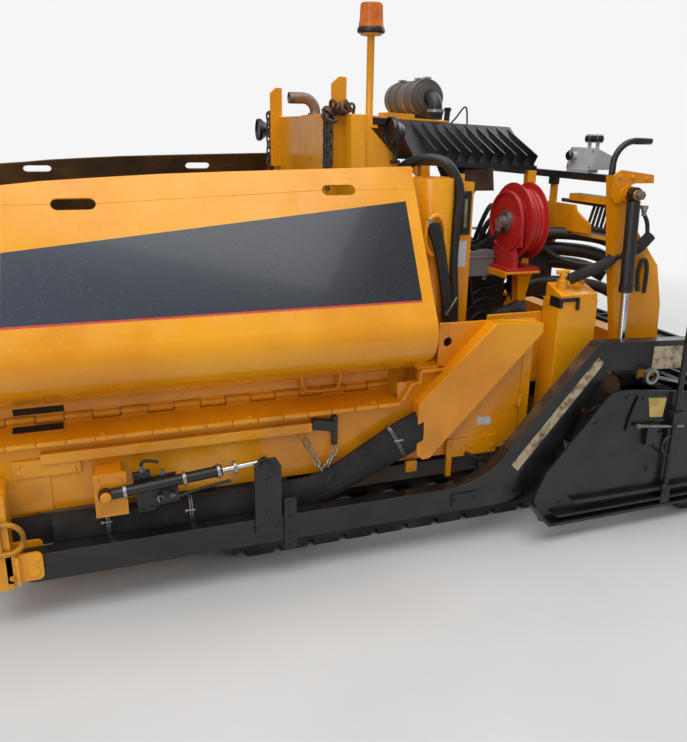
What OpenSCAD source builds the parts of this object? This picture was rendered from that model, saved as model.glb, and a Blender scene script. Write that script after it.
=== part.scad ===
// Asphalt paver on tracks. X points forward to the hopper, Y to the machine's left, Z up.
// The origin is on the ground below the middle of the machine. Millimetres.

/* [Tracks] */
// Width of each track
track_w = 305; // [260:5:320]
// Distance from the centre line to the middle of each track
track_y = 805; // [790:5:810]
// Distance between the end wheels of a track
track_base = 1240; // [1100:10:1300]
// Height of a track over its pads
track_h = 450; // [420:10:470]
// How far the middle of the tracks lies ahead of the origin
track_mid_x = 90; // [40:5:130]
// Pads round each track
pad_count = 26; // [22:1:28]
// Height of a pad
pad_h = 28; // [20:1:34]
// Length of a pad along the track
pad_l = 112; // [90:2:120]

/* [Chassis] */
// Gap between a track and the side plate's outer face
side_gap = 27.5; // [20:0.5:32]
// Thickness of the side plates
side_t = 10; // [6:1:12]
// Front end of the side plates
side_front_x = 1690; // [1650:10:1700]
// Rear end of the side plates
side_rear_x = -360; // [-420:10:-320]
// Bottom edge of the side plates
side_bottom_z = 345; // [330:5:360]
// Height of the deck that carries the engine
deck_z = 600; // [590:5:620]

/* [Hopper] */
// Rear end of the wings
wing_rear_x = 35; // [25:5:60]
// Front end of the wings
wing_front_x = 1800; // [1700:10:1850]
// Wing hinge axis, above the ground
wing_hinge_z = 660; // [655:1:670]
// Lean of a wing's side when it is folded up
wing_lean = 28.5; // [24:0.5:32]
// Slope of a wing's floor when it is folded up
wing_floor_a = 25.6; // [22:0.2:30]
// Height of the top edge of a wing
wing_top_z = 1521; // [1480:1:1540]
// Radius of the rolled corner of a wing
wing_corner_r = 122; // [100:2:140]
// Thickness of the wing sheet
wing_t = 9; // [6:1:12]
// Height of the hopper's flat floor
floor_z = 400; // [395:1:404]
// Half the width of the flat floor
floor_half_w = 470; // [450:10:500]
// Thickness of the hopper's floor sheets
floor_t = 12; // [8:1:16]

/* [Bulkhead and cowl] */
// Front face of the bulkhead
bulk_x = 190; // [180:5:200]
// Thickness of the bulkhead
bulk_t = 60; // [40:5:80]
// Top of the bulkhead and the cowl
bulk_top_z = 1712; // [1690:2:1720]
// Half the width of the cowl
cowl_half_w = 600; // [580:5:610]
// Top of the two slotted posts
post_top_z = 1860; // [1800:10:1900]

/* [Hood and engine] */
// Front end of the black hood
hood_front_x = -130; // [-140:5:-125]
// Length of the black hood
hood_l = 600; // [560:10:620]
// Slope of the hood down to the rear
hood_fall = 2.4; // [1:0.2:3]
// Louvre blades on each side of the hood
blade_count = 10; // [7:1:12]
// Diameter of the air cleaner
cleaner_d = 160; // [140:5:170]
// Length of the air cleaner
cleaner_l = 370; // [320:10:400]
// Diameter of the exhaust pipe
exhaust_d = 54; // [46:2:64]

/* [Rear body] */
// Top of the side tanks
tank_top_z = 1000; // [960:10:1030]
// Top of the lift towers
tower_top_z = 1486; // [1470:2:1500]
// Diameter of the hose reel's flanges
reel_d = 330; // [300:10:350]
// Width of the hose reel
reel_w = 84; // [74:2:90]
// Middle of the hose reel, above the ground
reel_z = 1280; // [1270:5:1310]

/* [Tow arms] */
// Tow pin, ahead of the origin
tow_x = 1512; // [1500:2:1520]
// Tow pin, above the ground
tow_z = 207; // [200:1:215]
// Width of an arm
arm_w = 60; // [50:2:64]
// Height of the arm's low beam
arm_h = 106; // [96:2:112]
// Depth of the arm over the crank
arm_crank_w = 140; // [130:2:150]
// Radius of the tow pin
tow_pin_r = 20; // [16:1:24]

/* [Screed] */
// Half the width of the main screed
screed_half_w = 1190; // [1170:5:1195]
// Front face of the main screed
screed_front_x = -1220; // [-1240:5:-1215]
// Depth of the main screed, front to back
screed_depth = 350; // [320:10:360]
// Height of the main screed
screed_h = 400; // [380:10:410]
// Plate thickness of the screeds
screed_t = 12; // [8:1:16]
// Depth of an extension, front to back
ext_depth = 320; // [280:10:330]
// Height of an extension
ext_h = 330; // [300:10:350]
// Radius of the extension's slide tubes
slide_r = 25; // [20:1:28]
// Height of the end gate's runner above the ground
gate_z = 70; // [60:5:90]
// Height of the walkway
walk_z = 470; // [460:5:490]

/* [Augers] */
// Diameter of the augers
auger_d = 305; // [280:5:310]
// Pitch of the auger flights
auger_pitch = 300; // [240:10:340]
// Radius of the auger shaft
auger_shaft_r = 30; // [24:1:36]
// Auger axis, from the origin
auger_x = -980; // [-985:1:-975]
// Auger axis, above the ground
auger_z = 330; // [320:5:340]

/* [Cylinders] */
// Outer radius of a lift cylinder's barrel
lift_barrel_r = 30; // [27:1:31]
// Radius of a lift rod
lift_rod_r = 16; // [12:1:18]
// Outer radius of a tow cylinder's barrel
tow_barrel_r = 22; // [18:1:23]
// Radius of a tow rod
tow_rod_r = 10; // [8:1:12]

/* [Push rollers] */
// Diameter of the push rollers
push_d = 150; // [130:5:160]
// Length of a push roller
push_l = 640; // [560:10:680]
// Push roller axis, ahead of the origin
push_x = 2025; // [2015:5:2035]
// Push roller axis, above the ground
push_z = 430; // [410:5:450]

/* [Hidden] */
$fn = 48;
// Gap between faces of pieces that lie against each other on one body
seat = 0.3;
// Radial gap of a shaft in its bore
run = 0.05;

yellow = "#f2a50c";
black = "#17181a";
steel = "#b9bcc0";
red = "#b3161c";
grey = "#8c9096";

// Derived places
pad_r = track_h / 2;
belt_r = pad_r - pad_h;
track_in_y = track_y - track_w / 2;
track_out_y = track_y + track_w / 2;
side_y = track_out_y + side_gap;
wing_hinge_y = side_y - 90;
bulk_half_w = wing_hinge_y - 115;
arm_y = side_y + 85;
bulk_rear_x = bulk_x - bulk_t;
arm_mid_y = arm_y + arm_w / 2;
arm_out_y = arm_y + arm_w;
screed_rear_x = screed_front_x - screed_depth;
ext_front_x = screed_rear_x - 40;
ext_rear_x = ext_front_x - ext_depth;
gate_y = max(screed_half_w, arm_out_y + 60) + 10;
gate_t = 12;
lift_y = arm_y - 40;
lift_top = [-893, 1415];
lift_eye = [-930, 650];
lift_pin_r = 14;
lift_eye_gap = 8;
tow_cyl_front = [1262, 429];
tow_cyl_eye = [700, 480];
tow_cyl_pin_r = 12;
tow_eye_gap = 1.5;
hinge_pin_r = 8;
knuckle_r = 15;

// Helpers
module box(x0, x1, y0, y1, z0, z1) {
    translate([x0, y0, z0]) cube([x1 - x0, y1 - y0, z1 - z0]);
}
module plate_xz(points, y0, y1) {
    translate([0, y1, 0]) rotate([90, 0, 0]) linear_extrude(y1 - y0) polygon(points);
}
module plate_yz(points, x0, x1) {
    translate([x0, 0, 0]) rotate([90, 0, 90]) linear_extrude(x1 - x0) polygon(points);
}
module rod_x(x0, x1, y, z, r) {
    translate([x0, y, z]) rotate([0, 90, 0]) cylinder(h = x1 - x0, r = r);
}
module rod_y(x, y0, y1, z, r) {
    translate([x, y0, z]) rotate([-90, 0, 0]) cylinder(h = y1 - y0, r = r);
}
module rod_z(x, y, z0, z1, r) {
    translate([x, y, z0]) cylinder(h = z1 - z0, r = r);
}
module both() {
    children();
    mirror([0, 1, 0]) children();
}
module on_side(side) {
    if (side > 0) children();
    if (side < 0) mirror([0, 1, 0]) children();
}
function arc(c, r, a0, a1, n) = [for (i = [0:n]) let (a = a0 + (a1 - a0) * i / n) c + r * [cos(a), sin(a)]];

// Tracks: one closed band with its pads in the outline
band_len = 2 * track_base + 2 * PI * belt_r;
function band_at(s) =
    s < track_base ? [s - track_base / 2, -belt_r, -90] :
    s < track_base + PI * belt_r ?
        let (a = (s - track_base) / belt_r * 180 / PI - 90)
        [track_base / 2 + belt_r * cos(a), belt_r * sin(a), a] :
    s < 2 * track_base + PI * belt_r ? [track_base / 2 - (s - track_base - PI * belt_r), belt_r, 90] :
        let (a = (s - 2 * track_base - PI * belt_r) / belt_r * 180 / PI + 90)
        [-track_base / 2 + belt_r * cos(a), belt_r * sin(a), a];
module stadium(r) {
    translate([track_base / 2, 0]) circle(r);
    translate([-track_base / 2, 0]) circle(r);
    square([track_base, 2 * r], center = true);
}
module track(side) {
    color(black) on_side(side) translate([track_mid_x, track_out_y, pad_r]) rotate([90, 0, 0])
        linear_extrude(track_w) {
            difference() {
                stadium(belt_r);
                stadium(belt_r - 22);
            }
            intersection() {
                stadium(pad_r);
                union() for (i = [0:pad_count - 1]) {
                    place = band_at((i + 0.5) * band_len / pad_count);
                    translate([place[0], place[1]]) rotate(place[2])
                        translate([-6, -pad_l / 2]) square([pad_h + 12, pad_l]);
                }
            }
        }
}
wheel_r = belt_r - 22 - seat;
module track_wheels() {
    color("#3a3d40") both() {
        for (x = [-1, 1] * track_base / 2)
            translate([track_mid_x + x, 0, pad_r]) difference() {
                rod_y(0, track_y - 60, track_y + 60, 0, wheel_r);
                rod_y(0, track_y + 40, track_y + 61, 0, wheel_r - 34);
            }
        for (i = [0:4])
            rod_y(track_mid_x - track_base / 2 + (i + 1) * track_base / 6, track_y - 70, track_y + 70,
                pad_h + 22 + seat + 55, 55);
        // Frame that joins the wheels' axles to the chassis
        box(track_mid_x - track_base / 2, track_mid_x + track_base / 2, track_in_y - 18, track_in_y + 60,
            170, 280);
        for (x = [-1, 1] * track_base / 2)
            rod_y(track_mid_x + x, track_in_y - 18, track_y + 50, pad_r, 32);
        for (i = [0:4])
            union() {
                x = track_mid_x - track_base / 2 + (i + 1) * track_base / 6;
                rod_y(x, track_in_y - 18, track_y, pad_h + 22 + seat + 55, 24);
                box(x - 34, x + 34, track_in_y - 18, track_in_y + 4, 80, 180);
            }
        box(track_mid_x - track_base / 2 + 130, track_mid_x + track_base / 2 - 130, track_in_y + 50,
            track_y + 30, 176, 250);
    }
}

// Frame: two long box beams, the conveyor tunnel between them and the deck over the tracks
beam_in_y = 480;
beam_out_y = track_in_y - 18 - seat;
frame_front_x = 1700;
frame_rear_x = -815;
beam_top_z = floor_z - floor_t - seat;
beam_bottom_z = 180;
bracket_x = [1480, 1130, 700, 260, -180];
hitch_z = 300;
hitch_x = push_x - 215;
module main_frame() {
    color(yellow) {
        both() box(frame_rear_x, frame_front_x, beam_in_y, beam_out_y, beam_bottom_z, beam_top_z);
        // Tunnel floor between the beams and the plate across the front
        box(frame_rear_x, frame_front_x, -beam_in_y - 1, beam_in_y + 1, beam_bottom_z, beam_bottom_z + 12);
        box(frame_front_x - 12, frame_front_x, -beam_in_y - 1, beam_in_y + 1, beam_bottom_z, beam_top_z);
        // Clevis and pin of the push beam
        for (z = [hitch_z - 75, hitch_z + 51])
            box(frame_front_x - 1, hitch_x + 35, -70, 70, z, z + 24);
        rod_z(hitch_x, 0, hitch_z - 75, hitch_z + 75, 25);
    }
}
// Brackets over the track that carry the side plates, and the feet of the tow brackets
bracket_t = 12;
bracket_in_y = beam_out_y + seat;
function under_floor(y) = floor_z - floor_t
    + (y - floor_half_w) * (floor_edge[1] - floor_z) / (floor_edge[0] - floor_half_w);
module side_brackets() {
    color(yellow) both() {
        for (x = bracket_x)
            plate_yz([[bracket_in_y, 300], [bracket_in_y + 8, 300], [bracket_in_y + 14, 470],
                [side_y - side_t - seat, 480], [side_y - side_t - seat, 560],
                [bracket_in_y, under_floor(bracket_in_y) - 2 * seat]],
                x, x + bracket_t);
        box(1500, 1600, bracket_in_y, side_y - 60 - seat, 200, 290);
    }
}
// Deck under the engine, and the walls of the conveyor tunnel that carry it
deck_t = 12;
deck_half_w = side_y - 115;
module engine_deck() {
    color(yellow) {
        box(-1060, bulk_rear_x - seat, -deck_half_w, deck_half_w, deck_z - deck_t, deck_z);
        // Wider rear end that carries the lift towers
        box(-1186, -940, -tower_out_y, tower_out_y, deck_z - deck_t, deck_z);
    }
}
module deck_walls() {
    top_z = deck_z - deck_t - seat;
    color(yellow) both() {
        box(frame_rear_x, bulk_rear_x - seat, beam_in_y, beam_in_y + deck_t, beam_top_z + seat, top_z);
        for (x = [-800, -420, 60])
            box(x, x + 14, beam_in_y + deck_t - 1, deck_half_w, 500, top_z);
    }
}

// Outer side plates under the wings
shelf_in = [wing_hinge_y + 10, wing_hinge_z - knuckle_r - 4];
shelf_out = [side_y + 35, 616];
shelf_t = 10;
shelf_rear_x = 117;
shelf_front_x = 1760;
function shelf_z(y) = shelf_in[1] + (y - shelf_in[0]) / (shelf_out[0] - shelf_in[0]) * (shelf_out[1] - shelf_in[1]);
side_top_z = shelf_z(side_y) - shelf_t - seat;
module side_plates() {
    color(yellow) both() {
        plate_xz([[side_rear_x, side_bottom_z], [side_front_x, side_bottom_z], [side_front_x, side_top_z],
            [shelf_rear_x, side_top_z], [60, side_top_z - 30], [side_rear_x, side_top_z - 30]],
            side_y - side_t, side_y);
        // Long angle rail and the small bracket plate on it
        box(480, 1465, side_y - 1, side_y + 26, 528, 536);
        box(480, 1465, side_y - 1, side_y + 8, 500, 536);
        box(1340, 1555, side_y - 1, side_y + 14, 505, 560);
    }
}

// Bolted shelf between the two long hinges
module hinge_row(y, z, x0, x1, count, first, r, bore) {
    step = (x1 - x0) / count;
    for (i = [first:2:count - 1])
        difference() {
            rod_x(x0 + i * step + 2, x0 + (i + 1) * step - 2, y, z, r);
            if (bore > 0)
                rod_x(x0 + i * step - 1, x0 + (i + 1) * step + 1, y, z, bore);
        }
}
knuckle_count = 17;
knuckle_step = (shelf_front_x - shelf_rear_x) / knuckle_count;
module hinge_shelves() {
    wall_top = wing_hinge_z - knuckle_r - 2;
    color(yellow) both() {
        plate_yz([shelf_in, shelf_out,
            shelf_out - [0, shelf_t], shelf_in - [0, shelf_t]],
            shelf_rear_x, shelf_front_x);
        box(shelf_rear_x, shelf_front_x, shelf_in[0] - 20, shelf_in[0] + 2, wall_top - shelf_t, wall_top);
        // Pin and fixed knuckles of the wing's hinge
        rod_x(shelf_rear_x, shelf_front_x, wing_hinge_y, wing_hinge_z, hinge_pin_r);
        hinge_row(wing_hinge_y, wing_hinge_z, shelf_rear_x, shelf_front_x, knuckle_count, 0, knuckle_r, 0);
        for (i = [0:2:knuckle_count - 1])
            box(shelf_rear_x + i * knuckle_step + 2, shelf_rear_x + (i + 1) * knuckle_step - 2,
                wing_hinge_y - 10, wing_hinge_y + 10, wall_top - 3, wing_hinge_z - 5);
        // Lower hinge, along the shelf's outer edge
        for (first = [0, 1])
            hinge_row(shelf_out[0] - 2, shelf_out[1] - 5, shelf_rear_x, shelf_front_x, knuckle_count, first, 11, 0);
    }
}

// Hopper floor: flat under the conveyors, sloping up to the wing hinges, with a low front lip
floor_edge = [wing_hinge_y - 30, wing_hinge_z - 12];
hopper_front_x = 1760;
function floor_line(drop) = [[-floor_edge[0], floor_edge[1] - drop], [-floor_half_w, floor_z - drop],
    [floor_half_w, floor_z - drop], [floor_edge[0], floor_edge[1] - drop]];
module hopper_floor() {
    color("#6d6a62") {
        plate_yz(concat(floor_line(0), reversed(floor_line(floor_t))), bulk_x + seat, hopper_front_x);
        plate_yz(concat(floor_line(-70), reversed(floor_line(floor_t))), hopper_front_x - 12, hopper_front_x);
        box(frame_rear_x + 2, bulk_x + 1, -floor_half_w, floor_half_w, floor_z - floor_t, floor_z);
    }
}
module conveyor_slats() {
    color("#4a4d50") both() {
        for (y = [40, 395])
            box(frame_rear_x + 20, 1700, y, y + 34, floor_z + seat, floor_z + 22);
        for (x = [frame_rear_x + 40:150:1660])
            box(x, x + 32, 45, 424, floor_z + seat, floor_z + 18);
    }
}

// Wing section, folded up, for the left side. The side and floor meet in a rolled corner.
side_dir = [-sin(wing_lean), cos(wing_lean)];
floor_dir = [cos(wing_floor_a), sin(wing_floor_a)];
wing_top = [wing_hinge_y - 38, wing_top_z];
wing_foot = [wing_hinge_y + 4, wing_hinge_z + 56];
// Where the side's line and the floor's line cross
cross_t = ((wing_top[0] - wing_foot[0]) * side_dir[1] - (wing_top[1] - wing_foot[1]) * side_dir[0])
    / (floor_dir[0] * side_dir[1] - floor_dir[1] * side_dir[0]);
wing_cross = wing_foot + cross_t * floor_dir;
in_dir = [-cos(wing_floor_a), -sin(wing_floor_a)];
open_a = acos(side_dir * in_dir);
tangent = wing_corner_r / tan(open_a / 2);
bisect = (side_dir + in_dir) / norm(side_dir + in_dir);
corner_c = wing_cross + bisect * wing_corner_r / sin(open_a / 2);
arc_a0 = wing_floor_a - 90;
arc_a1 = wing_lean;
function wing_outer(t) = concat([wing_top - t * [cos(wing_lean), sin(wing_lean)]],
    [for (p = arc(corner_c, wing_corner_r - t, arc_a1, arc_a0, 10)) p],
    [wing_foot + t * [-sin(wing_floor_a), cos(wing_floor_a)]]);
function reversed(list) = [for (i = [len(list) - 1:-1:0]) list[i]];
module wing_section() {
    polygon(concat(wing_outer(0), reversed(wing_outer(wing_t))));
}
// Middle of each slot, half its length and its distance down from the top edge
slot_list = [[345, 65, 94], [1276, 71, 131]];
slot_r = 20;
module wing(side) {
    color(yellow) on_side(side) {
        difference() {
            translate([wing_rear_x, 0, 0]) rotate([90, 0, 90]) linear_extrude(wing_front_x - wing_rear_x)
                wing_section();
            // Rounded slots near the top edge
            for (slot = slot_list)
                translate([slot[0], wing_top[0] - side_dir[0] * slot[2], wing_top[1] - side_dir[1] * slot[2]])
                    rotate([-90 + wing_lean, 0, 0]) translate([0, 0, -40]) {
                        translate([-slot[1] + slot_r, 0, 0]) cylinder(h = 80, r = slot_r);
                        translate([slot[1] - slot_r, 0, 0]) cylinder(h = 80, r = slot_r);
                        translate([-slot[1] + slot_r, -slot_r, 0]) cube([2 * (slot[1] - slot_r), 2 * slot_r, 80]);
                    }
        }
        // End plate at the rear
        plate_yz(concat(wing_outer(wing_t - 1), [wing_foot + [-10, 60], wing_top + [-90, -60]]),
            wing_rear_x, wing_rear_x + 8);
        // Leg down to the hinge and the wing's knuckles
        plate_yz([wing_foot, wing_foot + [-4, 9], [wing_hinge_y - 13, wing_hinge_z + 60],
            [wing_hinge_y - 11, wing_hinge_z + knuckle_r + 2], [wing_hinge_y + 1, wing_hinge_z + knuckle_r + 2]],
            shelf_rear_x + 2, wing_front_x);
        for (i = [1:2:knuckle_count - 1])
            box(shelf_rear_x + i * knuckle_step + 2, shelf_rear_x + (i + 1) * knuckle_step - 2,
                wing_hinge_y - 11, wing_hinge_y + 1, wing_hinge_z + 11, wing_hinge_z + knuckle_r + 3);
        hinge_row(wing_hinge_y, wing_hinge_z, shelf_rear_x, shelf_front_x, knuckle_count, 1, knuckle_r,
            hinge_pin_r + run);
        // Top lip
        plate_yz([wing_top, wing_top - wing_t * [cos(wing_lean), sin(wing_lean)],
            wing_top - 34 * [cos(wing_lean), sin(wing_lean)] + [3, 8], wing_top + [3, 8]],
            wing_rear_x, wing_front_x);
    }
}

// Bulkhead between hopper and engine, with its two posts
post_y = cowl_half_w - 100;
cheek_top_z = deck_z - deck_t - seat;
module bulkhead() {
    shoulder = [cowl_half_w + 20, 1450];
    color(yellow) {
        difference() {
            plate_yz([[-bulk_half_w, cheek_top_z + seat], [bulk_half_w, cheek_top_z + seat], [bulk_half_w, 1300],
                shoulder, [cowl_half_w, bulk_top_z], [-cowl_half_w, bulk_top_z], [-shoulder[0], shoulder[1]],
                [-bulk_half_w, 1300]], bulk_rear_x, bulk_x);
            // Hollow behind the front sheet
            plate_yz([[-bulk_half_w + 10, 610], [bulk_half_w - 10, 610], [bulk_half_w - 10, 1296],
                shoulder - [10, 4], [cowl_half_w - 10, bulk_top_z - 10], [-cowl_half_w + 10, bulk_top_z - 10],
                [-shoulder[0] + 10, shoulder[1] - 4], [-bulk_half_w + 10, 1296]], bulk_rear_x - 1, bulk_x - 10);
        }
        // Cheeks below the sheet, beside the conveyors
        both() plate_yz([[floor_half_w + 5, floor_z + seat], [bulk_half_w, cheek_top_z],
            [floor_half_w + 5, cheek_top_z]], bulk_rear_x, bulk_x);
        both() plate_xz([[bulk_x - 14, 1460], [bulk_x + 50, 1460], [bulk_x + 50, post_top_z - 30],
            [bulk_x + 17, post_top_z - 2], [bulk_x - 14, post_top_z - 5]], post_y - 6, post_y + 6);
    }
}

// Chains that hang over the posts, of flat links turned a quarter from one to the next
link_l = 44;
link_w = 26;
link_t = 7;
module link_shape() {
    difference() {
        union() {
            translate([0, link_l / 2 - link_w / 2]) circle(link_w / 2, $fn = 12);
            translate([0, -link_l / 2 + link_w / 2]) circle(link_w / 2, $fn = 12);
            square([link_w, link_l - link_w], center = true);
        }
        square([link_w - 2 * link_t, link_l - 2 * link_t], center = true);
    }
}
chain_step = link_l - 2 * link_t - 0.6;
module chain(count, lean) {
    for (i = [0:count - 1])
        translate([lean * i, 0, -i * chain_step])
            rotate([90, 0, i % 2 * 90 + 20]) linear_extrude(link_t, center = true) link_shape();
}
// Room that the bulkhead, a post and the cover take up
module post_room(y) {
    box(bulk_rear_x - 200, bulk_x + seat, y - 300, y + 300, 1000, bulk_top_z + seat);
    box(bulk_x - 20, bulk_x + 50 + seat, y - 6 - seat, y + 6 + seat, 1000, 2000);
}
module hopper_chains() {
    front_x = bulk_x + 50;
    color(black) {
        // Heap over the near post's foot, with three strands that hang from it
        difference() {
            union() {
                for (i = [0:6])
                    translate([bulk_x - 30 + i * 17, post_y + 16 + i % 3 * 10, bulk_top_z + 18 + i % 2 * 14])
                        rotate([70 + i * 47, i * 31, i * 63]) linear_extrude(11, center = true) scale(1.35)
                            link_shape();
                for (i = [0:5])
                    translate([front_x + 14, post_y - 20 + i * 12, bulk_top_z + 2 - i % 2 * 20])
                        rotate([80 + i * 61, i * 40, i * 75]) linear_extrude(12, center = true) scale(1.4)
                            link_shape();
                translate([front_x + 14, post_y + 8, bulk_top_z - 14]) rotate([0, 0, 30])
                    cylinder(h = 40, r = 17, $fn = 7);
                translate([bulk_x + 22, post_y + 24, bulk_top_z + 12]) rotate([0, 84, 0])
                    cylinder(h = 50, r = 15, center = true, $fn = 7);
                translate([front_x + 18, post_y + 10, bulk_top_z - 22]) chain(10, 0);
                translate([front_x + 20, post_y - 12, bulk_top_z - 12]) chain(9, 0);
                translate([front_x + 14, post_y + 32, bulk_top_z - 18]) chain(8, 0);
            }
            post_room(post_y);
        }
        // Single chain at the far post
        difference() {
            union() {
                translate([front_x + 6, -post_y - 22, bulk_top_z + 4]) chain(11, 0);
                translate([bulk_x + 26, -post_y - 12, bulk_top_z + 14]) rotate([0, 80, 10])
                    cylinder(h = 70, r = 12, center = true, $fn = 7);
            }
            post_room(-post_y);
        }
    }
}

// Yellow cowl behind the bulkhead: its side plates and the long top cover in the hood's slope
hood_ridge_z = 1700;
cover_half_w = 300;
cover_rear = -275;
cover_t = 9;
function hood_z(x, z) = hood_ridge_z + (x - hood_front_x) * sin(hood_fall) + z * cos(hood_fall);
module in_hood() {
    translate([hood_front_x, 0, hood_ridge_z]) rotate([0, -hood_fall, 0]) children();
}
module engine_cowl() {
    rear = bulk_rear_x - seat;
    color(yellow) {
        both() plate_xz([[rear, 1250], [rear, bulk_top_z], [117, bulk_top_z], [106, 1664], [-52, 1505],
            [-62, 1330], [0, 1250]], cowl_half_w - 8, cowl_half_w);
        in_hood() box(cover_rear, (rear - hood_front_x) / cos(hood_fall), -cover_half_w, cover_half_w, 0, cover_t);
        in_hood() box(-100, 40, cover_half_w - 100, cover_half_w, cover_t - 1, 27);
        // Corner posts that stand on the deck
        both() for (x = [-185, -722])
            box(x, x + 42, eave_y - 24, eave_y + 14, deck_z + seat, hood_z(x, -hood_drop - rail_h) - 2 * seat);
    }
}

// Black hood: a louvre of upright blades on each slope, bent back under at the eave
blade_t = 5;
hood_drop = 172;
tip_drop = 122;
eave_y = cowl_half_w - 40;
rail_h = 16;
module hood() {
    step = (hood_l - 40) / blade_count;
    ridge_y = cover_half_w;
    color(black) in_hood() {
        both() {
            plate_yz([[ridge_y - 8, -seat], [ridge_y - 8, -20], [eave_y - 6, -hood_drop - 2],
                [eave_y - 6, -hood_drop - rail_h], [eave_y + 12, -hood_drop - rail_h], [eave_y + 12, -hood_drop + 4],
                [eave_y - 2, -hood_drop + 4], [ridge_y + 4, -seat]], -hood_l, 0);
            for (i = [0:blade_count - 1])
                plate_yz([[ridge_y - 6, -4], [ridge_y + 2, -1], [cowl_half_w, -tip_drop], [cowl_half_w - 2, -tip_drop - 6],
                    [eave_y + 10, -hood_drop + 3], [eave_y - 3, -hood_drop - 1]],
                    -20 - (i + 1) * step, -20 - (i + 1) * step + blade_t);
            // Rail along the ridge, on to the bulkhead
            box(-2, 236, ridge_y - 14, ridge_y - 6, -26, -seat);
        }
        box(-hood_l, -hood_l + 12, -ridge_y + 8, ridge_y - 8, -60, -1);
        box(-hood_l, cover_rear - 1, -ridge_y + 7, ridge_y - 7, -8, -seat);
        // Baffle that slopes in under the rear half
        plate_xz([[-hood_l + 2, -60], [-hood_l + 130, -330], [-hood_l + 260, -330], [-hood_l + 420, -60]],
            ridge_y - 60, ridge_y - 50);
    }
}

// Engine with its cover, sump, pipes and belt drive; the radiator stands between it and the bulkhead
module engine_block() {
    color("#2c2e30") {
        box(-680, -120, -230, 210, deck_z + 60, 1120);
        box(-640, -160, -170, 150, 1119, 1230);
        box(-620, -180, -60, 60, 1229, 1290);
        box(-600, -200, -160, 140, deck_z + seat, deck_z + 61);
        // Manifolds, filter and starter on the near side
        rod_x(-640, -170, 262, 1080, 34);
        for (x = [-600, -480, -360, -240])
            rod_y(x, 205, 262, 1080, 24);
        rod_z(-420, 262, 720, 860, 48);
        box(-470, -370, 205, 262, 840, 880);
        rod_x(-660, -430, 250, 960, 46);
        // Belt drive
        rod_x(-121, -96, 0, 780, 90);
        rod_x(-121, -96, 150, 1000, 46);
        rod_x(-121, -96, 0, 1060, 62);
        rod_x(-300, -119, 260, 1000, 52);
        rod_x(-110, -60, 0, 980, 30);
        for (a = [0:45:315])
            translate([-70, 0, 980]) rotate([a, 0, 0]) rotate([0, 0, 25]) box(-4, 4, -24, 24, 20, 205);
    }
}
module radiator() {
    color("#3a3c3e") {
        difference() {
            box(20, 90, -330, 330, deck_z + seat, 1290);
            for (z = [deck_z + 50:26:1240])
                box(19, 52, -300, 300, z, z + 17);
        }
        rod_y(55, -300, 300, 1296, 30);
    }
}

cleaner_x = -352;
cleaner_near_y = 204;
cleaner_z = 1800;
elbow_r = 52;
module air_cleaner() {
    far_y = cleaner_near_y - cleaner_l;
    color(grey) {
        rod_y(cleaner_x, far_y, cleaner_near_y - 30, cleaner_z, cleaner_d / 2);
        rod_y(cleaner_x, cleaner_near_y - 31, cleaner_near_y - 12, cleaner_z, cleaner_d / 2 - 8);
        rod_y(cleaner_x, cleaner_near_y - 13, cleaner_near_y, cleaner_z, cleaner_d / 2 - 20);
        for (y = [0.1, 0.34, 0.62, 0.86])
            rod_y(cleaner_x, far_y + y * cleaner_l, far_y + y * cleaner_l + 14, cleaner_z, cleaner_d / 2 + 4);
        // Rubber elbow down into the hood, with a clamp on it
        rod_y(cleaner_x, cleaner_near_y - 1, cleaner_near_y + 8, cleaner_z, 36);
        translate([cleaner_x, cleaner_near_y + 5, cleaner_z - elbow_r]) rotate([0, -90, 0])
            rotate_extrude(angle = 90) translate([elbow_r, 0]) circle(32);
        rod_z(cleaner_x, cleaner_near_y + 5 + elbow_r, hood_z(cleaner_x + 34, cover_t) + seat, cleaner_z - elbow_r + 3, 34);
        rod_z(cleaner_x, cleaner_near_y + 5 + elbow_r, 1724, 1740, 38);
        // Feet on the cover
        in_hood() for (y = [far_y + 90, far_y + 250])
            box(cleaner_x - hood_front_x - 50, cleaner_x - hood_front_x + 50, y, y + 30, cover_t + seat, 42);
    }
}
exhaust_x = 92;
exhaust_y = -180;
exhaust_bend = 66;
module exhaust_pipe() {
    r = exhaust_d / 2;
    color("#6b5648") {
        difference() {
            union() {
                rod_z(exhaust_x, exhaust_y, 1721, 1734, r);
                translate([exhaust_x + exhaust_bend, exhaust_y, 1731]) rotate([90, 0, 0]) rotate([0, 0, 90])
                    rotate_extrude(angle = 90) translate([exhaust_bend, 0]) circle(r - 1);
                rod_x(exhaust_x + exhaust_bend - 3, exhaust_x + 136, exhaust_y, 1731 + exhaust_bend, r);
            }
            rod_x(exhaust_x + exhaust_bend + 12, exhaust_x + 140, exhaust_y, 1731 + exhaust_bend, r - 4);
        }
        in_hood() translate([exhaust_x - hood_front_x, exhaust_y, cover_t + seat]) cylinder(h = 8, r = r + 10);
    }
}
beacon_x = 90;
beacon_y = cowl_half_w - 55;
module beacon_pole() {
    color(yellow) {
        rod_z(beacon_x, beacon_y, bulk_top_z - 40, 2020, 15);
        rod_z(beacon_x, beacon_y, 2012, 2022, 42);
        // Arm to the cowl's side plate
        box(beacon_x - 20, beacon_x + 20, beacon_y - 20, cowl_half_w - 8 - seat, bulk_top_z - 52, bulk_top_z - 40);
    }
}
module beacon_lens() {
    color("#e06a10") {
        rod_z(beacon_x, beacon_y, 2022 + seat, 2060, 50);
        translate([beacon_x, beacon_y, 2059]) cylinder(h = 70, r1 = 46, r2 = 42, $fn = 48);
    }
}
lamp_z = 1645;
lamp_r = 60;
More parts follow.
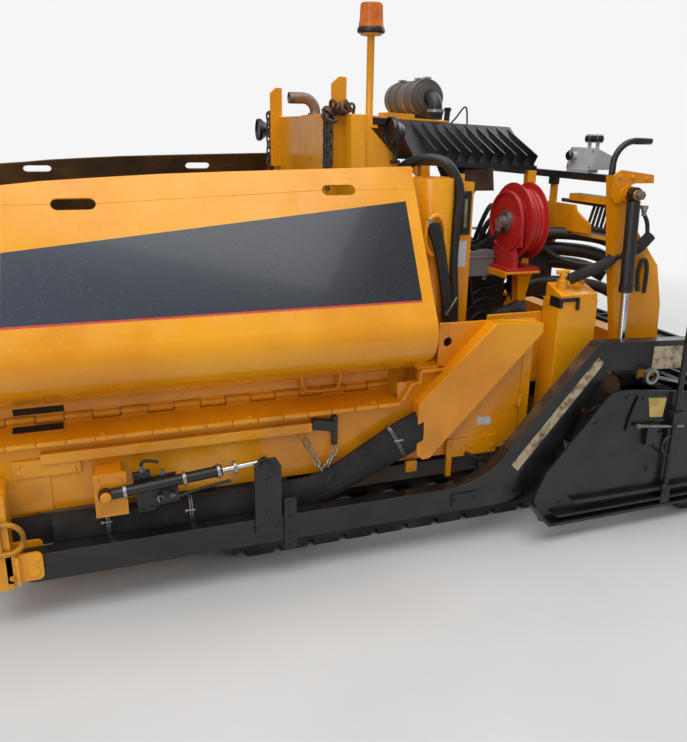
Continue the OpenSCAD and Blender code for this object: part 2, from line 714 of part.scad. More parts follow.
module lamp(x, y) {
    translate([x - 60, y, lamp_z]) rotate([0, 90, 0]) rotate_extrude()
        polygon([[0, 0], [30, 0], [lamp_r - 6, 36], [lamp_r, 40], [lamp_r, 60], [lamp_r - 6, 60], [lamp_r - 6, 52],
            [0, 52]]);
}
module work_lamps() {
    far_x = 239;
    far_y = cowl_half_w + 200;
    // The bulkhead's edge leans out below its top
    far_in_y = cowl_half_w + 20 * (bulk_top_z - lamp_z + 20) / (bulk_top_z - 1450) + seat;
    color(black) {
        lamp(32, cowl_half_w + 22);
        rod_z(0, cowl_half_w + 22, lamp_z - 112, lamp_z - 40, 10);
        box(-14, 14, cowl_half_w + seat, cowl_half_w + 40, lamp_z - 124, lamp_z - 111);
        lamp(far_x, -far_y);
        rod_y(far_x - 50, -far_y, -far_in_y - 3, lamp_z, 12);
        box(bulk_rear_x + 10, far_x - 30, -far_in_y - 12, -far_in_y, lamp_z - 20, lamp_z + 20);
    }
}

// Upright tank and sight glass post, behind the left wing
gauge_y = cowl_half_w + 150;
module gauge_tank() {
    color(yellow) {
        difference() {
            rod_z(-118, gauge_y, deck_z + seat, 1472, 86);
            rod_z(-118, gauge_y, 1462, 1473, 78);
        }
        difference() {
            box(-302, -206, gauge_y - 50, gauge_y + 10, deck_z + seat, 1452);
            box(-290, -218, gauge_y, gauge_y + 11, 1236, 1416);
        }
        box(-206, -196, gauge_y - 40, gauge_y, 900, 960);
        box(-262, -214, gauge_y - 40, gauge_y - 4, 1451, 1484);
    }
}
// Side tanks: a thin upright outer part with a sloping lid, and a low part inwards
tank_in_y = side_y - 105;
tank_out_y = side_y + 15;
module side_tanks() {
    color(yellow) {
        both() {
            plate_xz([[-800, 466], [-520, 466], [-520, tank_top_z], [-600, tank_top_z + 36],
                [-700, tank_top_z + 30], [-800, tank_top_z - 8]], tank_in_y, tank_out_y);
            box(-790, -530, tank_in_y - 230, tank_in_y + 1, deck_z + seat, 760);
        }
        // Filler neck and knobs on the lid
        rod_z(-640, side_y - 40, tank_top_z + 20, tank_top_z + 74, 30);
        rod_z(-640, side_y - 40, tank_top_z + 73, tank_top_z + 92, 38);
    }
}

// Hose cover that climbs to the rear, and the bolted guard behind it
guard_out_y = side_y + 13;
cover_out_y = side_y + 71;
module side_guards() {
    color(yellow) both() {
        plate_xz([[-480, 352], [-120, 352], [-120, 600], [-320, 900], [-519, 900], [-519, 470]],
            side_y + seat, guard_out_y);
        difference() {
            plate_xz([[25, 368], [25, 589], [-302, 914], [-500, 900], [-500, 850], [-30, 368]],
                side_y + seat, cover_out_y);
            plate_xz([[40, 378], [40, 575], [-310, 904], [-520, 892], [-470, 850], [-26, 378]],
                side_y - 1, cover_out_y - 6);
        }
        box(-360, -125, guard_out_y - 1, guard_out_y + 7, 356, 417);
    }
}

// Lift towers: leaning pressed plates, open to the inside, each with a hook plate for the cylinder's pin
tower_out_y = side_y - 12;
tower_depth = 44;
hook_t = 12;
tower_line = [[-822, tower_top_z], [-868, 1157], [-905, 957], [-970, deck_z + seat], [-1180, deck_z + seat],
    [-1160, 930], [-1115, 1105], [-1015, 1220], [-935, 1310], [-912, tower_top_z]];
tower_hollow = [[-834, tower_top_z - 12], [-880, 1155], [-917, 955], [-980, deck_z + 12], [-1167, deck_z + 12],
    [-1148, 933], [-1106, 1112], [-1006, 1229], [-925, 1316], [-903, tower_top_z - 12]];
hook_line = [[-820, 1400], [-822, tower_top_z + 2], [-834, tower_top_z + 12], [-858, tower_top_z + 24],
    [-1020, tower_top_z + 4], [-1024, 1456], [-928, 1456], [-900, 1446], [-884, 1422], [-886, 1392], [-862, 1376],
    [-836, 1380]];
module lift_towers() {
    color(yellow) {
        both() {
            difference() {
                plate_xz(tower_line, tower_out_y - tower_depth, tower_out_y);
                plate_xz(tower_hollow, tower_out_y - tower_depth - 1, tower_out_y - 10);
            }
            plate_xz(hook_line, tower_out_y - 0.5, tower_out_y + hook_t);
            // Boss behind the pin, the pin and its collar
            rod_y(lift_top[0], tower_out_y - 11, lift_y - lift_barrel_r - 4, lift_top[1], 34);
            rod_y(lift_top[0], tower_out_y, lift_y - 17, lift_top[1], 19);
            rod_y(lift_top[0], lift_y - 18, lift_y + 24, lift_top[1], lift_pin_r);
            rod_y(lift_top[0], lift_y + 17, lift_y + 27, lift_top[1], 21);
        }
        // Beam across the rear between the towers
        box(-1160, -1070, -tower_out_y + tower_depth + seat, tower_out_y - tower_depth - seat, deck_z + seat, 760);
    }
}

// Hose reel on its stand above the left side tank
reel_x0 = -615;
reel_y = 700;
reel_axle_r = 14;
reel_core_r = 62;
arch_r = 132;
module reel_stand() {
    front_x = reel_x0 + reel_w + 18;
    foot_z = 1085;
    color(red) {
        // Arched front plate with a lip, then the axle and its hub
        difference() {
            union() {
                rod_x(front_x, front_x + 16, reel_y, reel_z, arch_r);
                box(front_x, front_x + 16, reel_y - arch_r + 1, reel_y + arch_r - 1, foot_z + 60, reel_z);
                plate_yz([[reel_y - 80, foot_z], [reel_y + 80, foot_z], [reel_y + arch_r - 1, foot_z + 61],
                    [reel_y - arch_r + 1, foot_z + 61]], front_x, front_x + 16);
            }
            rod_x(front_x + 9, front_x + 17, reel_y, reel_z, arch_r - 14);
        }
        box(reel_x0 - 20, front_x + 40, reel_y - 90, reel_y + 90, foot_z - 12, foot_z + 1);
        rod_x(reel_x0 - 14, front_x + 40, reel_y, reel_z, reel_axle_r);
        rod_x(reel_x0 - 22, reel_x0 - 8, reel_y, reel_z, 26);
        rod_x(front_x + 8, front_x + 22, reel_y, reel_z, 44);
        rod_x(front_x + 21, front_x + 34, reel_y, reel_z, 26);
        // Pedestal on the side tank's low part
        box(reel_x0 + 12, front_x + 20, reel_y - 30, reel_y + 50, 760 + seat, foot_z - 11);
        plate_yz([[reel_y - 60, 1000], [reel_y - 29, 960], [reel_y - 29, foot_z - 11], [reel_y - 85, foot_z - 11]],
            front_x - 40, front_x - 30);
    }
}
module hose_reel() {
    color(red) difference() {
        union() {
            for (x = [reel_x0, reel_x0 + reel_w - 6])
                rod_x(x, x + 6, reel_y, reel_z, reel_d / 2);
            for (x = [reel_x0 - 3, reel_x0 + reel_w])
                rod_x(x, x + 3, reel_y, reel_z, reel_d / 2 - 44);
            rod_x(reel_x0, reel_x0 + reel_w, reel_y, reel_z, reel_core_r);
            // Wound hose
            for (i = [0:3])
                rod_x(reel_x0 + 6 + i * 18, reel_x0 + 22 + i * 18, reel_y, reel_z, reel_d / 2 - 26);
        }
        rod_x(reel_x0 - 4, reel_x0 + reel_w + 4, reel_y, reel_z, reel_axle_r + run);
    }
}

// Black bar across the rear with its curved hand rail, the console on it and the valve bank below it
bar_x = -852;
bar_z = 1456;
bar_h = 30;
rail_r = 14;
rail_y = tower_out_y - 83;
module crossbar() {
    end_y = tower_out_y - tower_depth - seat;
    color(black) {
        box(bar_x - 20, bar_x + 20, -end_y, end_y, bar_z, bar_z + bar_h);
        // Rail that rises from the bar and curves to the rear
        rod_z(bar_x - 30, rail_y, bar_z + 4, bar_z + 70, rail_r);
        box(bar_x - 32, bar_x - 19, rail_y - 10, rail_y + 10, bar_z + 6, bar_z + bar_h - 4);
        translate([bar_x - 130, rail_y, bar_z + 67]) rotate([90, 0, 0]) rotate_extrude(angle = 90)
            translate([100, 0]) circle(rail_r - 1);
        rod_x(bar_x - 210, bar_x - 127, rail_y, bar_z + 167, rail_r);
        // Posts down to the valve bank's bracket
        box(bar_x - 14, bar_x + 14, 505, 549, 1424, bar_z + 1);
    }
}
console_in_y = 612;
console_out_y = 792;
module control_box() {
    bottom = bar_z + bar_h + seat;
    color(grey) {
        plate_xz([[-848, bottom + 14], [-866, bottom + 106], [-968, bottom + 66], [-956, bottom + 14]],
            console_in_y, console_out_y);
        box(-900, -838, console_in_y + 20, console_out_y - 20, bottom, bottom + 15);
        for (y = [console_out_y - 40, console_out_y - 95]) {
            rod_z(-900, y, bottom + 80, bottom + 128, 8);
            rod_z(-900, y, bottom + 126, bottom + 160, 19);
        }
        rod_x(-862, -826, console_in_y + 44, bottom + 70, 17);
    }
}
module valve_bank() {
    bracket_x = bar_x + 2;
    end_y = tower_out_y - tower_depth - seat;
    color(yellow) {
        box(bracket_x - 12, bracket_x, 505, 549, 1330, 1424 - seat);
        plate_yz([[486, 1344], [700, 1344], [716, 1318], [820, 1270], [824, 1232], [600, 1222], [520, 1080],
            [500, 1080], [490, 1222]], bracket_x - 12, bracket_x);
        box(bracket_x - 40, bracket_x - 11, 600, end_y, 1215, 1227);
    }
    color(black) {
        box(bracket_x - 70, bracket_x - 12 - seat, 640, end_y, 1362, 1392);
        rod_y(bracket_x - 30, 570, end_y, 1356, 9);
        for (i = [0:4])
            plate_yz([[760 + i * 30, 1240], [772 + i * 30, 1240], [812 + i * 26, 1353], [800 + i * 26, 1353]],
                bracket_x - 34, bracket_x - 26);
        rod_y(bracket_x - 30, 740, end_y, 1250, 12);
    }
}

// Wrapped hose bundles beside the frame, oval in section, rising to the side covers
sleeve_y = side_y + 39.5;
sleeve_half_w = 36;
sleeve_half_h = 62;
sleeve_end_half_h = 86;
sleeve_path = [[1446, 290], [1300, 286], [900, 284], [620, 284], [500, 290], [400, 318], [300, 366], [200, 416],
    [110, 460], [25.4, 498]];
sleeve_sides = 14;
function path_dir(path, i) =
    let (a = path[max(i - 1, 0)], b = path[min(i + 1, len(path) - 1)]) (b - a) / norm(b - a);
function sleeve_ring(i) =
    let (p = sleeve_path[i], d = i == len(sleeve_path) - 1 ? [-1, 0] : path_dir(sleeve_path, i),
        h = sleeve_half_h + (sleeve_end_half_h - sleeve_half_h) * max(0, i - 5) / (len(sleeve_path) - 6))
    [for (k = [0:sleeve_sides - 1]) let (a = 360 * k / sleeve_sides)
        [p[0] - d[1] * h * sin(a), sleeve_y + sleeve_half_w * cos(a), p[1] + d[0] * h * sin(a)]];
module sleeve() {
    rings = len(sleeve_path);
    n = sleeve_sides;
    polyhedron(
        points = [for (i = [0:rings - 1]) each sleeve_ring(i)],
        faces = concat([[for (k = [0:n - 1]) k]], [[for (k = [n - 1:-1:0]) (rings - 1) * n + k]],
            [for (i = [0:rings - 2], k = [0:n - 1])
                [i * n + k, (i + 1) * n + k, (i + 1) * n + (k + 1) % n, i * n + (k + 1) % n]]));
}
module hose_sleeves() {
    color("#22211f") both() sleeve();
}

// Tow pins with their yellow clamps, and the brackets of the tow cylinders
lug_x = 1670;
lug_z = 245;
lug_r = 18;
module tow_brackets() {
    color(yellow) both() {
        plate_xz([[1450, 150], [1610, 150], [1640, 220], [1640, side_bottom_z - seat], [1450, side_bottom_z - seat]],
            side_y - 60, arm_y - 20);
        rod_y(tow_x, arm_y - 21, arm_out_y + 30, tow_z, tow_pin_r);
        // Tie-down lug at the front
        difference() {
            plate_xz([[1630, 205], [1680, 205], [1700, 230], [1700, 260], [1680, 285], [1630, 285]], side_y + 5, side_y + 25);
            rod_y(lug_x, side_y, side_y + 30, lug_z, lug_r);
        }
        plate_xz([[1462, 165], [1562, 165], [1572, 210], [1562, 262], [1462, 262], [1452, 210]],
            arm_out_y + 6, arm_out_y + 30);
        // Cylinder bracket on the side plate
        difference() {
            plate_xz([[1235, 356], [1330, 356], [1330, 500], [1235, 500]], side_y + seat, arm_out_y + 5);
            plate_xz([[1234, 368], [1310, 368], [1310, 488], [1234, 488]], arm_y + 2, arm_out_y + 6);
        }
        rod_y(tow_cyl_front[0], arm_y + 1, arm_out_y + 5, tow_cyl_front[1], tow_cyl_pin_r);
        box(1244, 1330, arm_out_y - 5, arm_out_y + 5, 396, 462);
    }
}

// Auger drive case hung from the rear of the frame
module auger_case() {
    color("#2b2c2e") {
        difference() {
            union() {
                box(auger_x - 70, auger_x + 70, -42, 42, auger_z - 90, deck_z - 12 - seat);
                both() box(auger_x - 40, auger_x + 40, 600, 640, auger_z - 40, deck_z - 12 - seat);
            }
            both() {
                rod_y(auger_x, 10, 43, auger_z, auger_shaft_r + run);
                rod_y(auger_x, 599, 641, auger_z, auger_shaft_r + run);
            }
        }
    }
}
auger_in = 60;
auger_out = 1130;
flight_step = 18;
function flight_ring(y, t) =
    let (a = y * 360 / auger_pitch, r0 = auger_shaft_r - 6, r1 = auger_d / 2)
    [[r0 * cos(a), y - t / 2, r0 * sin(a)], [r1 * cos(a), y - t / 2, r1 * sin(a)],
        [r1 * cos(a), y + t / 2, r1 * sin(a)], [r0 * cos(a), y + t / 2, r0 * sin(a)]];
module flight(y0, y1) {
    n = round((y1 - y0) / auger_pitch * 360 / flight_step);
    translate([auger_x, 0, auger_z]) polyhedron(
        points = [for (i = [0:n]) each flight_ring(y0 + (y1 - y0) * i / n, 12)],
        faces = concat([[0, 1, 2, 3]], [[4 * n + 3, 4 * n + 2, 4 * n + 1, 4 * n]],
            [for (i = [0:n - 1], k = [0:3])
                each [[4 * i + k, 4 * i + 4 + k, 4 * i + (k + 1) % 4],
                    [4 * i + 4 + k, 4 * i + 4 + (k + 1) % 4, 4 * i + (k + 1) % 4]]]));
}
module auger(side) {
    color("#3b3d40") on_side(side) {
        rod_y(auger_x, 12, auger_out + 12, auger_z, auger_shaft_r);
        flight(auger_in, 590);
        flight(650, auger_out);
    }
}

// Push rollers on a beam that swings about an upright pin
module push_beam() {
    beam_x = push_x - 145;
    color(yellow) {
        difference() {
            union() {
                box(beam_x, beam_x + 60, -push_l - 60, push_l + 60, push_z - 60, push_z + 60);
                box(beam_x, beam_x + 60, -200, 200, hitch_z - 45, push_z - 59);
                for (y = [-push_l - 60, -12, push_l + 36])
                    plate_xz([[beam_x + 59, push_z - 55], [push_x + 15, push_z - 35], [push_x + 32, push_z],
                        [push_x + 15, push_z + 35], [beam_x + 59, push_z + 55]], y, y + 24);
                box(hitch_x, beam_x + 1, -60, 60, hitch_z - 45, hitch_z + 45);
                rod_z(hitch_x, 0, hitch_z - 45, hitch_z + 45, 60);
            }
            rod_z(hitch_x, 0, hitch_z - 100, hitch_z + 100, 25 + run);
        }
        both() rod_y(push_x, 10, push_l + 40, push_z, 22);
    }
}
module push_roller(side) {
    color(steel) on_side(side) difference() {
        rod_y(push_x, 20, push_l + 28, push_z, push_d / 2);
        rod_y(push_x, 19, push_l + 29, push_z, 22 + run);
    }
}
// Tow arm: low beam, crank and upper section as one plate outline
crank_top = [-737, 823];
crank_low = [-300, 410];
crank_dir = (crank_top - crank_low) / norm(crank_top - crank_low);
crank_side = [-crank_dir[1], crank_dir[0]];
arm_bottom_z = tow_z - 55;
arm_top_z = arm_bottom_z + arm_h;
arm_rear = [-1590, 782];
arm_depth = 130;
function arm_top_at(x) = crank_top[1] + (x - crank_top[0]) * (arm_rear[1] - crank_top[1]) / (arm_rear[0] - crank_top[0]);
low_pt = crank_low + arm_crank_w * crank_side;
function on_crank(p, z) = [p[0] + (z - p[1]) * crank_dir[0] / crank_dir[1], z];
module tow_arm(side) {
    color(black) on_side(side) difference() {
        union() {
            plate_xz(concat(arc([tow_x, tow_z], 55, 65, -90, 12),
                [on_crank(low_pt, arm_bottom_z) + [20, 0], on_crank(low_pt, arm_bottom_z + 18) + [-4, 0],
                on_crank(low_pt, arm_top_at(-790) - arm_depth), arm_rear - [0, arm_depth], arm_rear, crank_top,
                on_crank(crank_low, arm_top_z + 30), on_crank(crank_low, arm_top_z) + [44, 0]]),
                arm_y, arm_out_y);
            // Splice plate and the bracket of the tow cylinder
            plate_xz([[582, 118], [630, 118], [630, 330], [582, 330]], arm_out_y - 1, arm_out_y + 10);
            plate_xz([[640, arm_top_z - 60], [742, arm_top_z - 60], [742, 470], [724, 505], [660, 505], [640, 470]],
                arm_out_y - 1, arm_out_y + 10);
            rod_y(tow_cyl_eye[0], arm_mid_y - 20, arm_out_y + 10, tow_cyl_eye[1], tow_cyl_pin_r);
            // Inner bracket for the lift cylinder's eye
            plate_xz([[-985, 600], [-875, 600], [-855, 720], [-1005, 720]], arm_y - 4, arm_y + 8);
            rod_y(lift_eye[0], lift_y - 24, arm_y + 1, lift_eye[1], lift_pin_r);
        }
        rod_y(tow_x, arm_y - 1, arm_out_y + 1, tow_z, tow_pin_r + run);
    }
}

// Main screed: sole, front plate, rear plate and top channel between end plates
module screed_profile(x0, x1, h, nose_r) {
    polygon(concat([[x1, h]], [[x1, 0]], arc([x0 - nose_r, nose_r], nose_r, -90, 0, 6), [[x0, h]]));
}
module screed_shell(front, rear, y0, y1, h, nose_r) {
    t = screed_t;
    difference() {
        translate([0, y1, 0]) rotate([90, 0, 0]) linear_extrude(y1 - y0)
            screed_profile(front, rear, h, nose_r);
        translate([0, y1 - t, 0]) rotate([90, 0, 0]) linear_extrude(y1 - y0 - 2 * t)
            translate([0, t]) screed_profile(front - t, rear + t, h - 2 * t, nose_r - t + 1);
        // Open top between two lips
        box(rear + 70, front - 70, y0 + t + 30, y1 - t - 30, h - t - 1, h + 1);
    }
}
slide_x = ext_front_x;
bearing_in_y = screed_half_w - 140;
bearing_out_y = screed_half_w - 25;
slide_z = [200, 300];
module main_screed() {
    color(black) difference() {
        union() {
            screed_shell(screed_front_x, screed_rear_x, -screed_half_w, screed_half_w, screed_h, 50);
            // Arms' feet: side plates that rise to the jacks
            both() plate_xz([[-1530, screed_h - 1], [-1330, screed_h - 1], [-1380, foot_top_z], [-1480, foot_top_z]],
                arm_y, arm_out_y - 5);
            // Bearings of the slide tubes
            both() for (z = slide_z)
                rod_y(slide_x, bearing_in_y, bearing_out_y, z, slide_r + 14);
            both() box(slide_x + 10, screed_rear_x + 1, bearing_in_y, bearing_out_y, 160, 340);
        }
        both() for (z = slide_z)
            rod_y(slide_x, bearing_in_y - 1, bearing_out_y + 1, z, slide_r + run);
    }
}
foot_top_z = 560;
jack_x = -1430;
module screed_jacks() {
    top = arm_top_at(jack_x + 28) + seat;
    color(steel) both() {
        rod_z(jack_x, arm_mid_y, foot_top_z + seat, arm_top_at(jack_x) - arm_depth - 1, 18);
        rod_z(jack_x, arm_mid_y, top, 1010, 14);
        rod_z(jack_x, arm_mid_y, top, top + 40, 28);
        rod_x(jack_x - 70, jack_x + 70, arm_mid_y, 1010, 10);
    }
}
walk_half_w = screed_half_w - 40;
walk_leg_y = [walk_half_w - 140, 540];
module walkway() {
    color(black) {
        difference() {
            box(-2100, -1560, -walk_half_w, walk_half_w, walk_z, walk_z + 30);
            for (x = [-2075, -1945, -1815, -1685], i = [0:9])
                box(x, x + 108, -walk_half_w + 36 + i * tread_step, -walk_half_w + 18 + (i + 1) * tread_step,
                    walk_z + 12, walk_z + 31);
        }
        both() for (y = walk_leg_y) {
            box(-1570, screed_rear_x + 60, y, y + 20, screed_h + seat, walk_z + 1);
            plate_xz([[-1570, screed_h + seat], [-1500, screed_h + seat], [-1500, walk_z + 1], [-2080, walk_z + 1],
                [-2080, walk_z - 20], [-1620, walk_z - 30]], y, y + 20);
        }
    }
}
tread_step = (2 * walk_half_w - 54) / 10;
module extension(side) {
    color(black) on_side(side) {
        screed_shell(ext_front_x - 50, ext_rear_x, 8, screed_half_w - 5, ext_h, 40);
        for (z = slide_z)
            rod_y(slide_x, 20, screed_half_w - 5, z, slide_r);
        // Plate that ties the tubes to the body at the outer end
        box(ext_front_x - 60, slide_x + 27, bearing_out_y + 5, screed_half_w - 5, 150, ext_h - 5);
        box(ext_front_x - 60, slide_x + 27, 20, 40, 150, ext_h - 5);
    }
}
module end_gate(side) {
    y0 = gate_y;
    y1 = gate_y + gate_t;
    color(black) on_side(side) {
        plate_xz([[-380, gate_z + 10], [-395, 150], [-690, 640], [-1180, 640], [-1250, 540], [-1930, 540],
            [-1960, 500], [-1960, gate_z + 10]], y0, y1);
        plate_xz([[-380, gate_z + 60], [-372, gate_z + 50], [-420, gate_z], [-1940, gate_z], [-1940, gate_z + 14],
            [-430, gate_z + 14]], y0 - 4, y1 + 40);
        // Height cranks
        for (x = [-1020, -1640]) {
            rod_z(x, y1 + 24, gate_z + 13, 980, 13);
            rod_y(x, y1 + 24, y1 + 80, 970, 9);
            box(x - 30, x + 30, y1 - 1, y1 + 44, 470, 520);
        }
        // Mount to the extension's outer end
        box(ext_rear_x + 20, ext_front_x - 80, screed_half_w - 5, y0 + 1, 120, ext_h - 20);
    }
}

// Lift cylinders between the towers and the arms
lift_l = norm(lift_eye - lift_top);
lift_a = atan2(lift_eye[0] - lift_top[0], -(lift_eye[1] - lift_top[1]));
lift_barrel_l = 405;
module along_lift(side) {
    on_side(side) translate([lift_top[0], lift_y, lift_top[1]]) rotate([0, -lift_a, 0]) mirror([0, 0, 1])
        children();
}
module lift_barrel(side) {
    color(black) along_lift(side) difference() {
        union() {
            translate([0, 0, 26]) cylinder(h = lift_barrel_l - 26, r = lift_barrel_r - 3);
            translate([0, 0, lift_barrel_l - 30]) cylinder(h = 30, r = lift_barrel_r);
            translate([0, -14, 0]) rotate([-90, 0, 0]) cylinder(h = 28, r = 30);
        }
        translate([0, -15, 0]) rotate([-90, 0, 0]) cylinder(h = 30, r = lift_pin_r + run);
        translate([0, 0, 50]) cylinder(h = lift_barrel_l, r = lift_rod_r + run);
    }
}
module lift_rod(side) {
    color(steel) along_lift(side) difference() {
        union() {
            translate([0, 0, 355]) cylinder(h = lift_l - 355 - 30, r = lift_rod_r);
            translate([0, -13, lift_l]) rotate([-90, 0, 0]) cylinder(h = 26, r = 36);
        }
        translate([0, -15, lift_l]) rotate([-90, 0, 0]) cylinder(h = 30, r = lift_pin_r + lift_eye_gap);
    }
}

// Tow cylinders along the low beams
tow_l = norm(tow_cyl_eye - tow_cyl_front);
tow_a = atan2(tow_cyl_eye[1] - tow_cyl_front[1], -(tow_cyl_eye[0] - tow_cyl_front[0]));
module along_tow(side) {
    on_side(side) translate([tow_cyl_front[0], arm_mid_y, tow_cyl_front[1]]) rotate([0, tow_a, 0])
        rotate([0, -90, 0]) children();
}
module tow_barrel(side) {
    color(black) along_tow(side) difference() {
        union() {
            translate([0, 0, 20]) cylinder(h = 390, r = tow_barrel_r - 2);
            translate([0, 0, 384]) cylinder(h = 26, r = tow_barrel_r);
            translate([0, -12, 0]) rotate([-90, 0, 0]) cylinder(h = 24, r = 24);
        }
        translate([0, -15, 0]) rotate([-90, 0, 0]) cylinder(h = 30, r = tow_cyl_pin_r + run);
        translate([0, 0, 60]) cylinder(h = 400, r = tow_rod_r + run);
    }
}
module tow_rod(side) {
    color(steel) along_tow(side) difference() {
        union() {
            translate([0, 0, 330]) cylinder(h = tow_l - 330 - 18, r = tow_rod_r);
            translate([0, -11, tow_l]) rotate([-90, 0, 0]) cylinder(h = 22, r = 22);
        }
        translate([0, -15, tow_l]) rotate([-90, 0, 0]) cylinder(h = 30, r = tow_cyl_pin_r + tow_eye_gap);
    }
}

main_frame();
side_plates();
hinge_shelves();
hopper_floor();
conveyor_slats();
track(1);  // track_left
track(-1);  // track_right
track_wheels();
side_brackets();
engine_deck();
deck_walls();
bulkhead();
hopper_chains();
engine_cowl();
hood();
engine_block();
radiator();
air_cleaner();
exhaust_pipe();
beacon_pole();
beacon_lens();
work_lamps();
gauge_tank();
side_tanks();
side_guards();
lift_towers();
reel_stand();
hose_reel();
crossbar();
control_box();
valve_bank();
hose_sleeves();
tow_brackets();
auger_case();
auger(1);  // auger_left
auger(-1);  // auger_right
wing(1);  // wing_left
wing(-1);  // wing_right
push_beam();
push_roller(1);  // push_roller_left
push_roller(-1);  // push_roller_right
tow_arm(1);  // tow_arm_left
tow_arm(-1);  // tow_arm_right
main_screed();
walkway();
screed_jacks();
extension(1);  // extension_left
extension(-1);  // extension_right
end_gate(1);  // end_gate_left
end_gate(-1);  // end_gate_right
lift_barrel(1);  // lift_barrel_left
lift_barrel(-1);  // lift_barrel_right
lift_rod(1);  // lift_rod_left
lift_rod(-1);  // lift_rod_right
tow_barrel(1);  // tow_barrel_left
tow_barrel(-1);  // tow_barrel_right
tow_rod(1);  // tow_rod_left
tow_rod(-1);  // tow_rod_right
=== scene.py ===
"""Looks of an asphalt paver on tracks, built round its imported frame.

Metres, in the frame of the model: +X forward to the hopper, +Y the machine's left, +Z up.
"""

import math
import random

import bmesh
import bpy
from mathutils import Matrix, Vector


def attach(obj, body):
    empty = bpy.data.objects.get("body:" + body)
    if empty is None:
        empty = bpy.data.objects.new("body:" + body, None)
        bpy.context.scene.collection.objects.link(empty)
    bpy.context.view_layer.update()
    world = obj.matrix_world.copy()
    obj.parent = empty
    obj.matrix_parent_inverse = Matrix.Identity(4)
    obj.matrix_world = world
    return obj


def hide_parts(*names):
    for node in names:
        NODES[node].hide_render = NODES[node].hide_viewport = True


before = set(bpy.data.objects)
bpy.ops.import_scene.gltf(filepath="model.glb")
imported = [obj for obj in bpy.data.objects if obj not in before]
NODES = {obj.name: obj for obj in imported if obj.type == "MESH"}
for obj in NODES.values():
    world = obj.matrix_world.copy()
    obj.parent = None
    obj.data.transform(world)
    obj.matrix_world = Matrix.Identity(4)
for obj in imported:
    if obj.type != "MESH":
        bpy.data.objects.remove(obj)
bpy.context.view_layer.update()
SIDES = {"left": 1, "right": -1}

# Camera, as the photograph was taken
PHOTO_W, PHOTO_H = 687, 742
FOCAL_PX = 750.0
SENSOR_MM = 36.0
CAMERA_AT = Vector((1.293, 3.585, 1.65))
CAMERA_YAW, CAMERA_PITCH, CAMERA_ROLL = 159.99, -17.81, 0.85

# Stage: floor's half width, distances where it fades to white, strengths of backdrop and ambient light
FLOOR_HALF = 40
FADE = (2.6, 7.0)
WHITE = (1, 1, 1, 1)
BACKDROP = 0.92
AMBIENT = 0.42
# Name, place, size and power of each soft lamp, and the point they face
LAMPS = [("lamp_over", (0.5, 1.5, 6.0), 6.0, 290), ("lamp_front", (4.5, 5.0, 4.0), 3.5, 80),
    ("lamp_rear", (-5.0, -2.0, 4.5), 4.0, 90)]
LAMPS_FACE = Vector((0, 0, 0.8))


def make_camera():
    """The camera that took the photograph."""
    data = bpy.data.cameras.new("camera")
    data.sensor_width = SENSOR_MM
    data.lens = SENSOR_MM * FOCAL_PX / max(PHOTO_W, PHOTO_H)
    data.clip_end = 200
    camera = bpy.data.objects.new("camera", data)
    bpy.context.scene.collection.objects.link(camera)
    yaw, pitch, roll = (math.radians(a) for a in (CAMERA_YAW, 90 + CAMERA_PITCH, CAMERA_ROLL))
    turn = Matrix.Rotation(yaw, 4, "Z") @ Matrix.Rotation(pitch, 4, "X") @ Matrix.Rotation(roll, 4, "Z")
    camera.matrix_world = Matrix.Translation(CAMERA_AT) @ turn
    bpy.context.scene.camera = camera


# Colours, as linear values
YELLOW = (0.86, 0.36, 0.006)
YELLOW_SHADE = (0.72, 0.25, 0.002)
GRIME = (0.10, 0.055, 0.022)
BLACK = (0.006, 0.006, 0.0065)
BLACK_DUST = (0.030, 0.026, 0.022)
STEEL = (0.42, 0.42, 0.42)
STEEL_DARK = (0.10, 0.095, 0.09)
RUST = (0.20, 0.075, 0.026)
REEL_RED = (0.46, 0.018, 0.014)
CANISTER = (0.17, 0.18, 0.19)
AMBER = (0.92, 0.22, 0.02)


# Shader nodes
def add(tree, kind, sources=None, **settings):
    """A new shader node with its settings, and its inputs set or linked."""
    node = tree.nodes.new("ShaderNode" + kind)
    for key, value in settings.items():
        setattr(node, key, value)
    for key, value in (sources or {}).items():
        if isinstance(value, bpy.types.NodeSocket):
            tree.links.new(value, node.inputs[key])
        else:
            node.inputs[key].default_value = value
    return node


def place_of(tree):
    """The place on the object, in metres."""
    return add(tree, "TexCoord").outputs["Object"]


def noise(tree, place, scale, detail=4.0, low=0.35, high=0.65):
    """Soft noise from 0 to 1, spread between low and high."""
    source = add(tree, "TexNoise", {"Vector": place, "Scale": scale, "Detail": detail})
    eased = add(tree, "MapRange", {"Value": source.outputs["Fac"], "From Min": low, "From Max": high},
        interpolation_type="SMOOTHSTEP")
    return eased.outputs["Result"]


def times(tree, a, b):
    """The product of two values."""
    return add(tree, "Math", {0: a, 1: b}, operation="MULTIPLY").outputs[0]


def blend_colour(tree, share, a, b):
    """Colour a where share is 0 and b where it is 1."""
    mix = add(tree, "Mix", {"Factor": share}, data_type="RGBA")
    for index, value in ((6, a), (7, b)):
        if isinstance(value, bpy.types.NodeSocket):
            tree.links.new(value, mix.inputs[index])
        else:
            mix.inputs[index].default_value = (*value, 1)
    return mix.outputs[2]


def spread(tree, value, low, high, to_low=0.0, to_high=1.0):
    """A value between low and high, carried over to another range."""
    node = add(tree, "MapRange", {"Value": value, "From Min": low, "From Max": high, "To Min": to_low,
        "To Max": to_high})
    return node.outputs["Result"]


